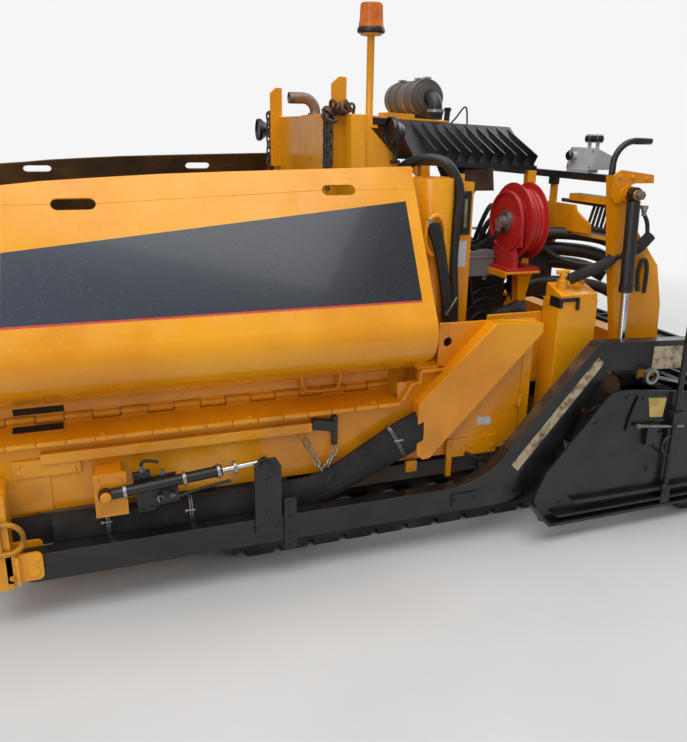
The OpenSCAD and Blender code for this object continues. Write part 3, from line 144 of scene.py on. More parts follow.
def new_material(name, colour, roughness, metallic=0.0, coat=0.0):
    """A plain material, with its node tree and its surface node."""
    material = bpy.data.materials.new(name)
    material.use_nodes = True
    bsdf = material.node_tree.nodes["Principled BSDF"]
    bsdf.inputs["Base Color"].default_value = (*colour, 1)
    bsdf.inputs["Roughness"].default_value = roughness
    bsdf.inputs["Metallic"].default_value = metallic
    bsdf.inputs["Coat Weight"].default_value = coat
    bsdf.inputs["Coat Roughness"].default_value = 0.06
    return material, material.node_tree, bsdf


def set_colour(tree, bsdf, socket):
    tree.links.new(socket, bsdf.inputs["Base Color"])


def set_bump(tree, bsdf, height, depth, strength=1.0):
    bump = add(tree, "Bump", {"Height": height, "Distance": depth, "Strength": strength})
    tree.links.new(bump.outputs["Normal"], bsdf.inputs["Normal"])


def beads(tree, place, scale, size):
    """Rain beads: round bumps of several sizes, from 0 to 1."""
    cells = add(tree, "TexVoronoi", {"Vector": place, "Scale": scale})
    tint = add(tree, "SeparateColor", {"Color": cells.outputs["Color"]})
    width = spread(tree, tint.outputs[0], 0.0, 1.0, 0.02, size)
    dome = add(tree, "MapRange", {"Value": cells.outputs["Distance"], "From Min": width, "From Max": 0.0},
        interpolation_type="SMOOTHSTEP")
    return dome.outputs["Result"]


def low_down(tree, place, top):
    """1 at the ground, falling to 0 at the height top."""
    axes = add(tree, "SeparateXYZ", {"Vector": place})
    return spread(tree, axes.outputs["Z"], top, 0.0)


def paint_material(name, base, shade, dust, roughness, wet):
    """Gloss paint with tone changes, thin grime low down and rain beads."""
    material, tree, bsdf = new_material(name, base, roughness, coat=0.1)
    place = place_of(tree)
    colour = blend_colour(tree, noise(tree, place, 1.7), base, shade)
    grime = times(tree, noise(tree, place, 6.0, 8.0, 0.45, 0.75), low_down(tree, place, 0.9))
    colour = blend_colour(tree, times(tree, grime, 0.55), colour, dust)
    streaks = noise(tree, place, 38.0, 6.0, 0.62, 0.8)
    colour = blend_colour(tree, times(tree, streaks, 0.18), colour, dust)
    set_colour(tree, bsdf, colour)
    rough = spread(tree, noise(tree, place, 9.0, 5.0), 0.0, 1.0, roughness * 0.7, roughness * 1.5)
    tree.links.new(rough, bsdf.inputs["Roughness"])
    set_bump(tree, bsdf, beads(tree, place, 75.0, wet), 0.0012, 0.55)
    return material


def worn_material(name, base, worn, roughness, metallic, scale=7.0, share=0.6, depth=0.0006):
    """A surface with patches of a second colour, and a fine rough bump."""
    material, tree, bsdf = new_material(name, base, roughness, metallic)
    place = place_of(tree)
    patches = times(tree, noise(tree, place, scale, 9.0, 0.42, 0.66), share)
    set_colour(tree, bsdf, blend_colour(tree, patches, base, worn))
    fine = noise(tree, place, scale * 22, 6.0, 0.2, 0.8)
    rough = spread(tree, patches, 0.0, 1.0, roughness, min(1.0, roughness + 0.3))
    tree.links.new(rough, bsdf.inputs["Roughness"])
    set_bump(tree, bsdf, fine, depth, 0.6)
    return material


def canvas_material(name, base, fold):
    """Oiled hose wrap: dark cloth with creases and a faint weave."""
    material, tree, bsdf = new_material(name, base, 0.55)
    place = place_of(tree)
    creases = noise(tree, place, 11.0, 5.0, 0.3, 0.7)
    set_colour(tree, bsdf, blend_colour(tree, creases, base, fold))
    wave = add(tree, "TexWave", {"Vector": place, "Scale": 160.0, "Distortion": 1.5})
    height = add(tree, "Math", {0: wave.outputs["Fac"], 1: creases}, operation="ADD").outputs[0]
    set_bump(tree, bsdf, height, 0.0015, 0.7)
    return material


def glass_material(name, colour, roughness, clear):
    """A lens with a share of light let through."""
    material, tree, bsdf = new_material(name, colour, roughness)
    bsdf.inputs["Transmission Weight"].default_value = clear
    bsdf.inputs["IOR"].default_value = 1.45
    place = place_of(tree)
    tone = blend_colour(tree, noise(tree, place, 20.0), colour, tuple(c * 0.8 for c in colour))
    set_colour(tree, bsdf, tone)
    return material


def band_material():
    """Slate band with a painted sky reflection, lighter and bluer towards the front, and rain beads with
    painted glints.
    """
    material, tree, bsdf = new_material("wing_band", (0.05, 0.055, 0.065), 0.2, coat=0.2)
    place = place_of(tree)
    axes = add(tree, "SeparateXYZ", {"Vector": place})
    # Painted sky reflection: the band turns lighter and bluer towards the front
    tone = blend_colour(tree, spread(tree, axes.outputs["X"], 0.2, 1.5), (0.014, 0.016, 0.020),
        (0.040, 0.050, 0.068))
    drops = times(tree, beads(tree, place, 170.0, 0.45), noise(tree, place, 7.0, 4.0, 0.3, 0.6))
    # Painted glints: the rain beads are made lighter and bluish, as if they reflect the sky
    tone = blend_colour(tree, times(tree, drops, 0.7), tone, (0.10, 0.12, 0.15))
    set_colour(tree, bsdf, tone)
    set_bump(tree, bsdf, beads(tree, place, 90.0, 0.3), 0.0012, 0.6)
    return material


def valve_material():
    """Black castings, and yellow for the bracket plate that carries them."""
    material, tree, bsdf = new_material("valve_bank", (0.02, 0.02, 0.02), 0.35)
    plate_back = -0.8625
    place = place_of(tree)
    axes = add(tree, "SeparateXYZ", {"Vector": place})
    front = add(tree, "Math", {0: axes.outputs["X"], 1: plate_back}, operation="GREATER_THAN").outputs[0]
    tone = noise(tree, place, 8.0)
    black = blend_colour(tree, tone, (0.014, 0.014, 0.014), (0.04, 0.036, 0.03))
    yellow = blend_colour(tree, tone, YELLOW, YELLOW_SHADE)
    set_colour(tree, bsdf, blend_colour(tree, front, black, yellow))
    return material


def wing_material():
    """Yellow outside; the faces turned inwards, which hold the load, are dark brown with painted shade."""
    material = paint_material("wing_paint", YELLOW, YELLOW_SHADE, GRIME, 0.22, 0.30)
    tree = material.node_tree
    bsdf = tree.nodes["Principled BSDF"]
    outside = bsdf.inputs["Base Color"].links[0].from_socket
    facing = add(tree, "SeparateXYZ", {"Vector": add(tree, "TexCoord").outputs["Normal"]})
    place = add(tree, "SeparateXYZ", {"Vector": place_of(tree)})
    way = add(tree, "Math", {0: facing.outputs["Y"], 1: place.outputs["Y"]},
        operation="MULTIPLY").outputs[0]
    turned_in = -0.12
    inside = add(tree, "Math", {0: way, 1: turned_in}, operation="LESS_THAN").outputs[0]
    # Painted shade: dark brown on the inward faces, where the shadow of the leaning wing falls
    inner_shade = blend_colour(tree, noise(tree, place_of(tree), 4.0, 8.0), (0.050, 0.026, 0.010),
        (0.12, 0.055, 0.012))
    set_colour(tree, bsdf, blend_colour(tree, inside, outside, inner_shade))
    return material


def cleaner_material():
    """Painted housing that has gone brown, and the black rubber elbow beside it."""
    material, tree, bsdf = new_material("cleaner_housing", CANISTER, 0.42)
    elbow_from = 0.2045
    place = place_of(tree)
    axes = add(tree, "SeparateXYZ", {"Vector": place})
    tone = blend_colour(tree, noise(tree, place, 5.0, 8.0, 0.35, 0.7), (0.075, 0.078, 0.080),
        (0.13, 0.105, 0.085))
    middle = times(tree, spread(tree, axes.outputs["Y"], -0.02, 0.0),
        spread(tree, axes.outputs["Y"], 0.11, 0.09))
    tone = blend_colour(tree, times(tree, middle, 0.6), tone, (0.17, 0.125, 0.095))
    rubber = add(tree, "Math", {0: axes.outputs["Y"], 1: elbow_from}, operation="GREATER_THAN").outputs[0]
    set_colour(tree, bsdf, blend_colour(tree, rubber, tone, (0.018, 0.018, 0.018)))
    set_bump(tree, bsdf, noise(tree, place, 120.0, 4.0), 0.0004, 0.5)
    return material


# Name, base colour, worn colour, roughness and metal, then scale, share and depth of the wear
WORN = {
    "steel": ("bare_steel", STEEL, STEEL_DARK, 0.32, 0.95),
    "chrome": ("chrome_rod", (0.75, 0.75, 0.76), STEEL, 0.12, 1.0, 12.0, 0.2, 0.0001),
    "dark": ("dark_iron", STEEL_DARK, RUST, 0.55, 0.5),
    "red": ("red_paint", REEL_RED, (0.25, 0.012, 0.01), 0.3, 0.0, 5.0, 0.5, 0.0002),
    "grey": ("grey_plastic", CANISTER, (0.10, 0.10, 0.10), 0.42, 0.0, 4.0, 0.6, 0.0003),
    "rubber": ("rubber", (0.010, 0.010, 0.010), (0.030, 0.029, 0.028), 0.42, 0.0, 9.0, 0.5, 0.0004),
    "track": ("track_rubber", (0.018, 0.018, 0.018), (0.07, 0.062, 0.05), 0.6, 0.0, 8.0, 0.8),
    "hopper": ("hopper_steel", (0.16, 0.14, 0.12), (0.05, 0.045, 0.04), 0.45, 0.7, 3.0),
    "rust": ("exhaust_steel", (0.25, 0.19, 0.15), RUST, 0.5, 0.7, 6.0),
    "engine": ("engine_paint", (0.035, 0.036, 0.038), (0.09, 0.07, 0.055), 0.5, 0.3),
    "panel": ("panel_grey", (0.42, 0.43, 0.43), (0.30, 0.30, 0.29), 0.4, 0.0),
    "shadow": ("seam_shadow", (0.010, 0.009, 0.008), (0.02, 0.018, 0.015), 0.7, 0.0),
    "mesh": ("vent_wire", (0.03, 0.025, 0.018), (0.10, 0.05, 0.01), 0.6, 0.4, 30.0),
    "red_line": ("red_line", (0.62, 0.05, 0.045), (0.45, 0.03, 0.03), 0.3, 0.0),
    "worn_label": ("worn_label", (0.52, 0.42, 0.27), (0.12, 0.045, 0.02), 0.5, 0.0, 26.0, 0.85),
    "worn_brown": ("worn_brown", (0.050, 0.030, 0.018), (0.13, 0.07, 0.03), 0.45, 0.1, 12.0, 0.7),
    "worn_yellow": ("worn_yellow", (0.55, 0.24, 0.01), (0.10, 0.05, 0.02), 0.4, 0.0, 18.0, 0.7),
    "label_yellow": ("label_yellow", (0.62, 0.45, 0.12), (0.35, 0.25, 0.08), 0.4, 0.0, 16.0, 0.6),
    "pale_label": ("pale_label", (0.55, 0.55, 0.52), (0.30, 0.30, 0.28), 0.4, 0.0, 22.0, 0.5),
    "sight": ("sight_glass", (0.30, 0.26, 0.16), (0.12, 0.10, 0.06), 0.15, 0.0, 20.0, 0.6),
}
MATERIALS = {key: worn_material(*row) for key, row in WORN.items()}
MATERIALS.update({
    "yellow": paint_material("yellow_paint", YELLOW, YELLOW_SHADE, GRIME, 0.22, 0.30),
    "black": paint_material("black_paint", BLACK, (0.012, 0.0115, 0.011), BLACK_DUST, 0.30, 0.26),
    "canvas": canvas_material("hose_wrap", (0.010, 0.0095, 0.009), (0.030, 0.028, 0.027)),
    "amber": glass_material("amber_lens", AMBER, 0.25, 0.35),
    "wing": wing_material(),
    "cleaner": cleaner_material(),
    "band": band_material(),
    "valve": valve_material(),
})

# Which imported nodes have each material; those not named here are yellow
FINISH = {
    "black": ["hood", "work_lamps", "crossbar", "tow_arm_left", "tow_arm_right", "main_screed", "walkway",
              "extension_left", "extension_right", "end_gate_left", "end_gate_right", "lift_barrel_left",
              "lift_barrel_right", "tow_barrel_left", "tow_barrel_right"],
    "dark": ["track_wheels", "auger_case", "auger_left", "auger_right", "conveyor_slats", "hopper_chains"],
    "engine": ["engine_block", "radiator"],
    "track": ["track_left", "track_right"],
    "steel": ["push_roller_left", "push_roller_right", "screed_jacks"],
    "chrome": ["lift_rod_left", "lift_rod_right", "tow_rod_left", "tow_rod_right"],
    "hopper": ["hopper_floor"],
    "cleaner": ["air_cleaner"],
    "valve": ["valve_bank"],
    "panel": ["control_box"],
    "rust": ["exhaust_pipe"],
    "red": ["hose_reel", "reel_stand"],
    "canvas": ["hose_sleeves"],
    "amber": ["beacon_lens"],
}


# Directions
LEFT, UP, DOWN = (0, 1, 0), (0, 0, 1), (0, 0, -1)
FORE, BACK = (1, 0, 0), (-1, 0, 0)

# Places that several pieces share: X and Z of the pins, Y of the outer faces of side plate, guard and hose
# cover, the gap at which a plate seats, how far a detail reaches into its base, Y of arm and gate
TOW_PIN = (1.512, 0.207)
CYLINDER_PIN = (1.262, 0.429)
ROD_PIN = (0.700, 0.480)
LIFT_PIN = (-0.893, 1.415)
SKIN = 0.985
GUARD = 0.998
COVER = 1.056
SEAT = 0.0003
INTO = 0.001
ARM_IN, ARM_OUT = 1.070, 1.130
GATE_IN, GATE_OUT = 1.194, 1.206
# Angles in degrees past which an edge is sharp, and past which it is rounded
SHARP, ROUNDED = 35, 40


# Shapes
class Piece:
    """The solids of one piece, gathered in one mesh. Those of the right side are mirrored."""

    def __init__(self, name, material, side=None, body="chassis"):
        self.name = f"{name}_{side}" if side else name
        self.body, self.material, self.side, self.mirror = body, material, side, SIDES.get(side, 1)
        self.points, self.faces = [], []

    def loft(self, loops):
        """A closed solid through loops of equally many points."""
        base, count = len(self.points), len(loops[0])
        self.points += [tuple(p) for loop in loops for p in loop]
        last = base + count * (len(loops) - 1)
        self.faces.append(tuple(range(base + count - 1, base - 1, -1)))
        self.faces.append(tuple(range(last, last + count)))
        for k in range(len(loops) - 1):
            a, b = base + k * count, base + (k + 1) * count
            self.faces += [(a + i, a + (i + 1) % count, b + (i + 1) % count, b + i) for i in range(count)]

    def ring(self, loops, left_out=()):
        """A band through loops of equally many points, back to the first, without the faces left out."""
        base, rows, count = len(self.points), len(loops), len(loops[0])
        self.points += [tuple(p) for loop in loops for p in loop]
        for k in range(rows):
            a, b = base + k * count, base + (k + 1) % rows * count
            self.faces += [(a + i, a + (i + 1) % count, b + (i + 1) % count, b + i) for i in range(count)
                if (k, i) not in left_out]

    def prism(self, line, axis, low, high):
        """A plate: an outline in the plane across an axis, from low to high along that axis."""
        at = {"x": lambda a, b, c: (c, a, b), "y": lambda a, b, c: (a, c, b)}[axis]
        self.loft([[at(a, b, c) for a, b in line] for c in (low, high)])

    def box(self, x0, x1, y0, y1, z0, z1):
        self.prism([(x0, z0), (x1, z0), (x1, z1), (x0, z1)], "y", y0, y1)

    def turned(self, at, out, profile, sides=28, closed=False):
        """A turned solid along out: profile has pairs of distance and radius. A closed one is a ring."""
        turn = Vector(out).to_track_quat("Z", "Y")
        loops = []
        for along, r in profile:
            loops.append([Vector(at) + turn @ Vector((x, y, along)) for x, y in circle(r, sides)])
        if closed:
            self.ring(loops)
        else:
            self.loft(loops)

    def washer(self, at, out, length, outer, inner, sides):
        """A round plate with a hole, its radii outer and inner."""
        self.turned(at, out, [(0, outer), (length, outer), (length, inner), (0, inner)], sides, True)

    def rod(self, start, end, r, sides=20):
        """A round bar with chamfered ends."""
        length = (Vector(end) - Vector(start)).length
        edge = min(r * 0.2, 0.002)
        self.turned(start, Vector(end) - Vector(start), [(0, r - edge), (edge, r), (length - edge, r),
            (length, r - edge)], sides)

    def tube(self, path, r, sides=12):
        """A bent bar, pipe or hose along a path."""
        line = [Vector(p) for p in path]
        way = (line[1] - line[0]).normalized()
        side = way.orthogonal().normalized()
        loops = []
        for i, p in enumerate(line):
            new = (line[min(i + 1, len(line) - 1)] - line[max(i - 1, 0)]).normalized()
            side = (way.rotation_difference(new) @ side).normalized()
            way = new
            up = way.cross(side)
            loops.append([p + side * a + up * b for a, b in circle(r, sides)])
        self.loft(loops)

    def hose(self, points, r, sides=12, steps=5):
        """A bent bar or hose on a smooth line through the points."""
        self.tube(smooth(points, steps), r, sides)

    def bolt(self, at, out, r=0.008):
        """A washer and a hexagon head."""
        self.turned(at, out, [(-0.002, r * 1.5), (0.0015, r * 1.5), (0.0022, r * 1.35)], 18)
        self.turned(at, out, [(0.001, r), (r * 0.8, r), (r * 0.95, r * 0.82)], 6)

    def bolts(self, spots, y, r):
        """Bolts on a side face, at pairs of X and Z."""
        for x, z in spots:
            self.bolt((x, y, z), LEFT, r)

    def cap_screw(self, at, out, r=0.008):
        """A round head with a hexagon socket's rim."""
        self.turned(at, out, [(-0.002, r), (r * 0.7, r), (r * 0.9, r * 0.85), (r * 0.9, r * 0.5),
            (r * 0.5, r * 0.45)], 18)

    def finish(self, soft=0.0):
        """Makes the object, its edges rounded by soft, and puts it on its body."""
        mesh = bpy.data.meshes.new(self.name)
        mesh.from_pydata([(x, y * self.mirror, z) for x, y, z in self.points], [], self.faces)
        shape = bmesh.new()
        shape.from_mesh(mesh)
        bmesh.ops.recalc_face_normals(shape, faces=shape.faces)
        for face in shape.faces:
            face.smooth = True
        shape.to_mesh(mesh)
        shape.free()
        mesh.set_sharp_from_angle(angle=math.radians(SHARP))
        mesh.materials.append(MATERIALS[self.material])
        obj = bpy.data.objects.new(self.name, mesh)
        bpy.context.scene.collection.objects.link(obj)
        if soft:
            bevel = obj.modifiers.new("bevel", "BEVEL")
            bevel.width = soft
            bevel.segments = 2
            bevel.limit_method = "ANGLE"
            bevel.angle_limit = math.radians(ROUNDED)
        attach(obj, self.body)


def arc(centre, r, start, end, count=9, tall=None):
    """Points of an arc, its angles in degrees. With tall it is part of an oval of that half height."""
    turns = [math.radians(start + (end - start) * k / (count - 1)) for k in range(count)]
    return [(centre[0] + r * math.cos(a), centre[1] + (tall or r) * math.sin(a)) for a in turns]


def circle(r, count, middle=(0, 0), tall=None):
    """Points of a circle, or of an upright oval with half height tall."""
    return arc(middle, r, 0, 360, count + 1, tall)[:-1]


def smooth(points, steps=5):
    """Points of a smooth line through the given ones."""
    line = [Vector(p) for p in points]
    ends = [line[0] * 2 - line[1]] + line + [line[-1] * 2 - line[-2]]
    out = []
    for i in range(1, len(ends) - 2):
        a, b, c, d = ends[i - 1:i + 3]
        for k in range(steps):
            t = k / steps
            out.append(0.5 * (2 * b + (c - a) * t + (2 * a - 5 * b + 4 * c - d) * t * t
                + (3 * b - a - 3 * c + d) * t ** 3))
    out.append(line[-1])
    return out


def at_y(points, y):
    """Points of X and Z put at one Y."""
    return [(x, y, z) for x, z in points]


# Wings: a section's angles in degrees, its top edge and foot as Y and Z, and its places along X
WING_LEAN, WING_SLOPE = 28.5, 25.6
WING_TOP, WING_FOOT = (0.857, 1.521), (0.899, 0.716)
WING_CORNER_R = 0.122
WING_SHEET, WING_END_SHEET = 0.009, 0.008
WING_DOWN = Vector((math.sin(math.radians(WING_LEAN)), -math.cos(math.radians(WING_LEAN))))
WING_OUT = Vector((-WING_DOWN.y, WING_DOWN.x))
WING_FLOOR = Vector((math.cos(math.radians(WING_SLOPE)), math.sin(math.radians(WING_SLOPE))))
WING_REAR, WING_FRONT = 0.035, 1.800
HINGE = (0.895, 0.660)
KNUCKLES, KNUCKLE_R, KNUCKLE_GAP = 17, 0.015, 0.002
KNUCKLES_FROM, KNUCKLES_TO = 0.117, 1.760


def on_wing(x, down, lift):
    """A point on a wing's side, at a distance down from its top edge and lifted off it."""
    return (x, *(Vector(WING_TOP) + WING_DOWN * down + WING_OUT * lift))


# The top edge falls towards the front: pairs of place and distance down from the rear corner's height
WING_EDGE = [(0.035, 0.0), (0.405, 0.009), (0.742, 0.018), (0.985, 0.026), (1.183, 0.037), (1.371, 0.049),
    (1.492, 0.062), (1.800, 0.085)]
# Middle, half length and distance down of each slot, and their half height
WING_SLOTS = {"left": [(0.345, 0.065, 0.094), (1.276, 0.071, 0.131)],
    "right": [(0.574, 0.068, 0.084), (1.430, 0.071, 0.101)]}
SLOT_R = 0.020


def wing_corner():
    """Centre of a wing's rolled corner, between side sheet and floor."""
    side, foot = -WING_DOWN, Vector(WING_FOOT)
    gap = Vector(WING_TOP) - foot
    cross = foot + WING_FLOOR * (gap.cross(side) / WING_FLOOR.cross(side))
    half = math.acos(side.dot(-WING_FLOOR)) / 2
    return cross + (side - WING_FLOOR).normalized() * (WING_CORNER_R / math.sin(half))


def add_side_sheet(piece, low):
    """The side sheet in two lofts, parted along the line through its slots."""
    rear_down, front_down = (slot[2] for slot in WING_SLOTS[piece.side])
    over = [(WING_REAR, rear_down)]
    for x, half, down in WING_SLOTS[piece.side]:
        reach = half - SLOT_R
        over += arc((x - reach, down), SLOT_R, 180, 270, 4)
        over += arc((x + reach, down), SLOT_R, 270, 360, 4)
    under = over[:1]
    for x, half, down in WING_SLOTS[piece.side]:
        reach = half - SLOT_R
        under += arc((x - reach, down), SLOT_R, 180, 90, 4)
        under += arc((x + reach, down), SLOT_R, 90, 0, 4)
    end = (WING_FRONT, front_down)
    for line in (WING_EDGE + [end] + over[::-1], under + [end, (WING_FRONT, low), (WING_REAR, low)]):
        piece.loft([[on_wing(x, down, lift) for x, down in line] for lift in (-WING_SHEET, 0)])


def shelf_top(y):
    """Height of the hinge shelf, which falls outwards."""
    return 0.643 - (y - 0.905) * 0.235


def make_wing_sheet(side):
    """A wing: side sheet with its slots, rolled corner, floor, end plate, leg and knuckles."""
    centre, foot = wing_corner(), Vector(WING_FOOT)
    piece = Piece("wing_sheet", "wing", side, f"wing_{side}")
    add_side_sheet(piece, (Vector(WING_TOP) - centre - WING_CORNER_R * WING_OUT).length + 0.002)
    ends = (WING_LEAN, WING_SLOPE - 90, 14)
    thick = Vector((-WING_FLOOR.y, WING_FLOOR.x))
    section = arc(centre, WING_CORNER_R, *ends) + [foot, foot + thick * WING_SHEET]
    piece.prism(section + arc(centre, WING_CORNER_R - WING_SHEET, *ends)[::-1], "x", WING_REAR, WING_FRONT)
    plate = [Vector(WING_TOP) - WING_OUT * WING_END_SHEET]
    plate += arc(centre, WING_CORNER_R - WING_END_SHEET, WING_LEAN, WING_SLOPE - 90, 10)
    plate += [foot + thick * WING_END_SHEET, (0.889, 0.776), (0.767, 1.461)]
    piece.prism(plate, "x", WING_REAR, WING_REAR + WING_END_SHEET)
    leg = [WING_FOOT, (0.895, 0.725), (0.882, 0.720), (0.884, 0.677), (0.896, 0.677)]
    piece.prism(leg, "x", 0.119, WING_FRONT)
    step = (KNUCKLES_TO - KNUCKLES_FROM) / KNUCKLES
    for i in range(1, KNUCKLES, 2):
        x0 = KNUCKLES_FROM + i * step + KNUCKLE_GAP
        x1 = KNUCKLES_FROM + (i + 1) * step - KNUCKLE_GAP
        piece.rod((x0, *HINGE), (x1, *HINGE), KNUCKLE_R)
        piece.box(x0, x1, 0.884, 0.897, 0.664, 0.679)
    piece.finish(0.0012)


def make_wing_pieces(side):
    """A wing with its painted band and red edge line, its grab handle, its vent, and painted shade for the
    slot below.
    """
    band = [(1.508, 0.291), (1.526, 0.533), (0.085, 0.534), (0.083, 0.143)]
    edge = [(1.5265, 0.532), (1.527, 0.540), (0.085, 0.541), (0.085, 0.533)]
    make_wing_sheet(side)
    for label, line, material in (("band", band, "band"), ("edge", edge, "red_line")):
        piece = Piece(f"wing_{label}", material, side, f"wing_{side}")
        piece.loft([[on_wing(x, down, lift) for x, down in line] for lift in (-0.001, 0.0008)])
        piece.finish()
    piece = Piece("wing_handle", "yellow", side, f"wing_{side}")
    ends = [(0.501, 0.930, 0.760), (0.497, 0.927, 0.716), (0.484, 0.919, 0.680), (0.462, 0.916, 0.668),
        (0.362, 0.916, 0.664), (0.345, 0.917, 0.672), (0.339, 0.925, 0.706), (0.336, 0.930, 0.752)]
    piece.hose(ends, 0.007, steps=4)
    piece.finish()
    piece = Piece("vent_mesh", "mesh", side, f"wing_{side}")
    low, high, y = 0.682, 0.706, 0.9005
    piece.box(1.372, 1.540, y - 0.006, y, low, high)
    wires, pitch, wire_r = 24, 0.0069, 0.0007
    for k in range(wires):
        x = 1.374 + k * pitch
        piece.tube([(x, y + 0.0008, low + 0.002), (x + 0.007, y + 0.0012, high - 0.002)], wire_r, 6)
        piece.tube([(x + 0.007, y + 0.0008, low + 0.002), (x, y + 0.0016, high - 0.002)], wire_r, 6)
    piece.finish()
    # Dark sheet in the shadow material: painted shade inside the slot in the shelf
    slot = Piece("shelf_slot_shade", "shadow", side)
    corners = ((1.378, 0.908), (1.545, 0.908), (1.545, 0.944), (1.378, 0.944))
    slot.loft([[(x, y, shelf_top(y) + lift) for x, y in corners] for lift in (-0.002, INTO)])
    slot.finish()


def make_side_plates(side):
    """Side plate with the wall behind the wing, the long rail and the small bracket plate."""
    hole_x, hole_z = -0.101, 0.841
    piece = Piece("side_plate", "yellow", side)
    notch = arc((hole_x, hole_z), 0.019, -90, 90, 11)
    front = [(hole_x, 0.345), (1.690, 0.345), (1.690, 0.613), (0.115, 0.613), (0.115, 0.690),
        (0.028, 0.690), (0.028, 0.736), (-0.060, 0.736), (-0.060, 0.922), (hole_x, 0.921)]
    piece.prism(front + notch[::-1], "y", SKIN - 0.010, SKIN)
    back = [(-0.360, 0.345), (hole_x, 0.345)] + [(2 * hole_x - x, z) for x, z in notch]
    piece.prism(back + [(hole_x, 0.921), (-0.360, 0.918)], "y", SKIN - 0.010, SKIN)
    piece.box(-0.094, 0.028, SKIN - INTO, 1.007, 0.726, 0.736)
    piece.prism([(1.437, 0.345), (1.690, 0.345), (1.690, 0.492), (1.456, 0.492), (1.441, 0.486),
        (1.437, 0.472)], "y", SKIN - INTO, 0.990)
    piece.box(0.480, 1.462, SKIN - INTO, 1.011, 0.532, 0.570)
    piece.box(1.332, 1.555, SKIN - INTO, GUARD, 0.484, 0.548)
    piece.finish(0.0018)
    # Lower lip of the opening under the wing's corner
    piece = Piece("corner_ledge", "yellow", side)
    piece.prism([(0.885, 0.725), (SKIN, 0.735), (SKIN, 0.743), (0.885, 0.733)], "x", -0.094, 0.026)
    piece.prism([(0.107, 0.613), (0.062, 0.685), (0.028, 0.692), (0.026, 0.736), (0.014, 0.736),
        (0.016, 0.684), (0.050, 0.677), (0.090, 0.613)], "y", SKIN, 1.003)
    piece.finish(0.0015)
    small = Piece("side_bolts", "yellow", side)
    small.bolts(((1.356, 0.532), (1.536, 0.532), (1.356, 0.500), (1.536, 0.500)), GUARD, 0.007)
    for x in (1.251, 0.729, 0.230):
        small.cap_screw((x, 1.011, 0.622), LEFT, 0.010)
    small.finish()


def make_side_guards(side):
    """Bolted guard, and the hose cover that climbs to the rear."""
    outer = [(0.050, 0.396), (0.050, 0.612), (-0.280, 0.921), (-0.500, 0.908), (-0.500, 0.868),
        (-0.010, 0.374), (0.022, 0.370)]
    inner = [(0.044, 0.400), (0.044, 0.609), (-0.282, 0.914), (-0.494, 0.902), (-0.494, 0.871),
        (-0.008, 0.381), (0.020, 0.376)]
    piece = Piece("side_guard", "yellow", side)
    piece.prism([(-0.480, 0.352), (-0.120, 0.352), (-0.120, 0.600), (-0.320, 0.918), (-0.498, 0.916),
        (-0.498, 0.470)], "y", SKIN + SEAT, GUARD)
    piece.box(-0.352, -0.114, GUARD - INTO, 1.004, 0.336, 0.418)
    # The cover's walls and its outer sheet
    piece.ring([at_y(outer, COVER - 0.005), at_y(outer, SKIN + SEAT), at_y(inner, SKIN + SEAT),
        at_y(inner, COVER - 0.005)], [(3, 0)])
    piece.prism(outer[1:], "y", COVER - 0.006, COVER)
    piece.prism([outer[0], outer[1], outer[-1]], "y", COVER - 0.006, COVER)
    piece.finish(0.0015)
    small = Piece("guard_fittings", "yellow", side)
    small.bolts(((-0.135, 0.392), (-0.232, 0.380), (-0.330, 0.368)), 1.004, 0.0065)
    for x, z in ((-0.448, 0.560), (-0.440, 0.830)):
        small.box(x - 0.012, x + 0.012, GUARD - INTO, 1.012, z - 0.020, z + 0.020)
        small.rod((x, 1.008, z - 0.028), (x, 1.008, z + 0.028), 0.006)
        small.turned((x, 1.011, z), LEFT, [(0, 0.006), (0.004, 0.006), (0.005, 0.004)], 12)
    small.finish()
    seam = Piece("guard_seam", "shadow", side)
    seam.box(-0.451, -0.4495, 0.9972, 0.9986, 0.354, 0.900)
    seam.finish()


def make_side_tanks(side):
    """Side tank with its sloped top, its inner part and the recessed panel before it."""
    piece = Piece("side_tank", "yellow", side)
    piece.box(-0.800, -0.607, 0.880, 1.000, 0.466, 0.980)
    piece.prism([(0.882, 0.979), (0.998, 0.979), (0.998, 1.003), (0.882, 1.040)], "x", -0.797, -0.616)
    piece.box(-0.790, -0.530, 0.650, 0.881, 0.6003, 0.760)
    # Recessed panel between the guard and the tank
    piece.box(-0.608, -0.340, 0.868, 0.880, 0.590, 0.912)
    piece.finish(0.003)


def make_tank_fittings():
    """Fillers and the black clip on the left tank."""
    piece = Piece("tank_filler", "yellow")
    piece.turned((-0.652, 0.940, 0.995), UP, [(0, 0.026), (0.012, 0.026), (0.014, 0.021), (0.062, 0.021),
        (0.066, 0.014), (0.092, 0.014), (0.094, 0.011)])
    piece.rod((-0.682, 0.940, 1.092), (-0.622, 0.940, 1.092), 0.010)
    piece.turned((-0.775, 0.905, 1.025), UP, [(0, 0.014), (0.030, 0.014), (0.032, 0.021), (0.048, 0.021),
        (0.052, 0.016)])
    piece.finish()
    piece = Piece("tank_clip", "black")
    piece.box(-0.622, -0.606, 0.930, 1.004, 0.950, 0.992)
    piece.box(-0.700, -0.600, 0.998, 1.006, 0.976, 0.992)
    piece.box(-0.700, -0.688, 0.998, 1.012, 0.940, 0.992)
    piece.finish(0.0015)


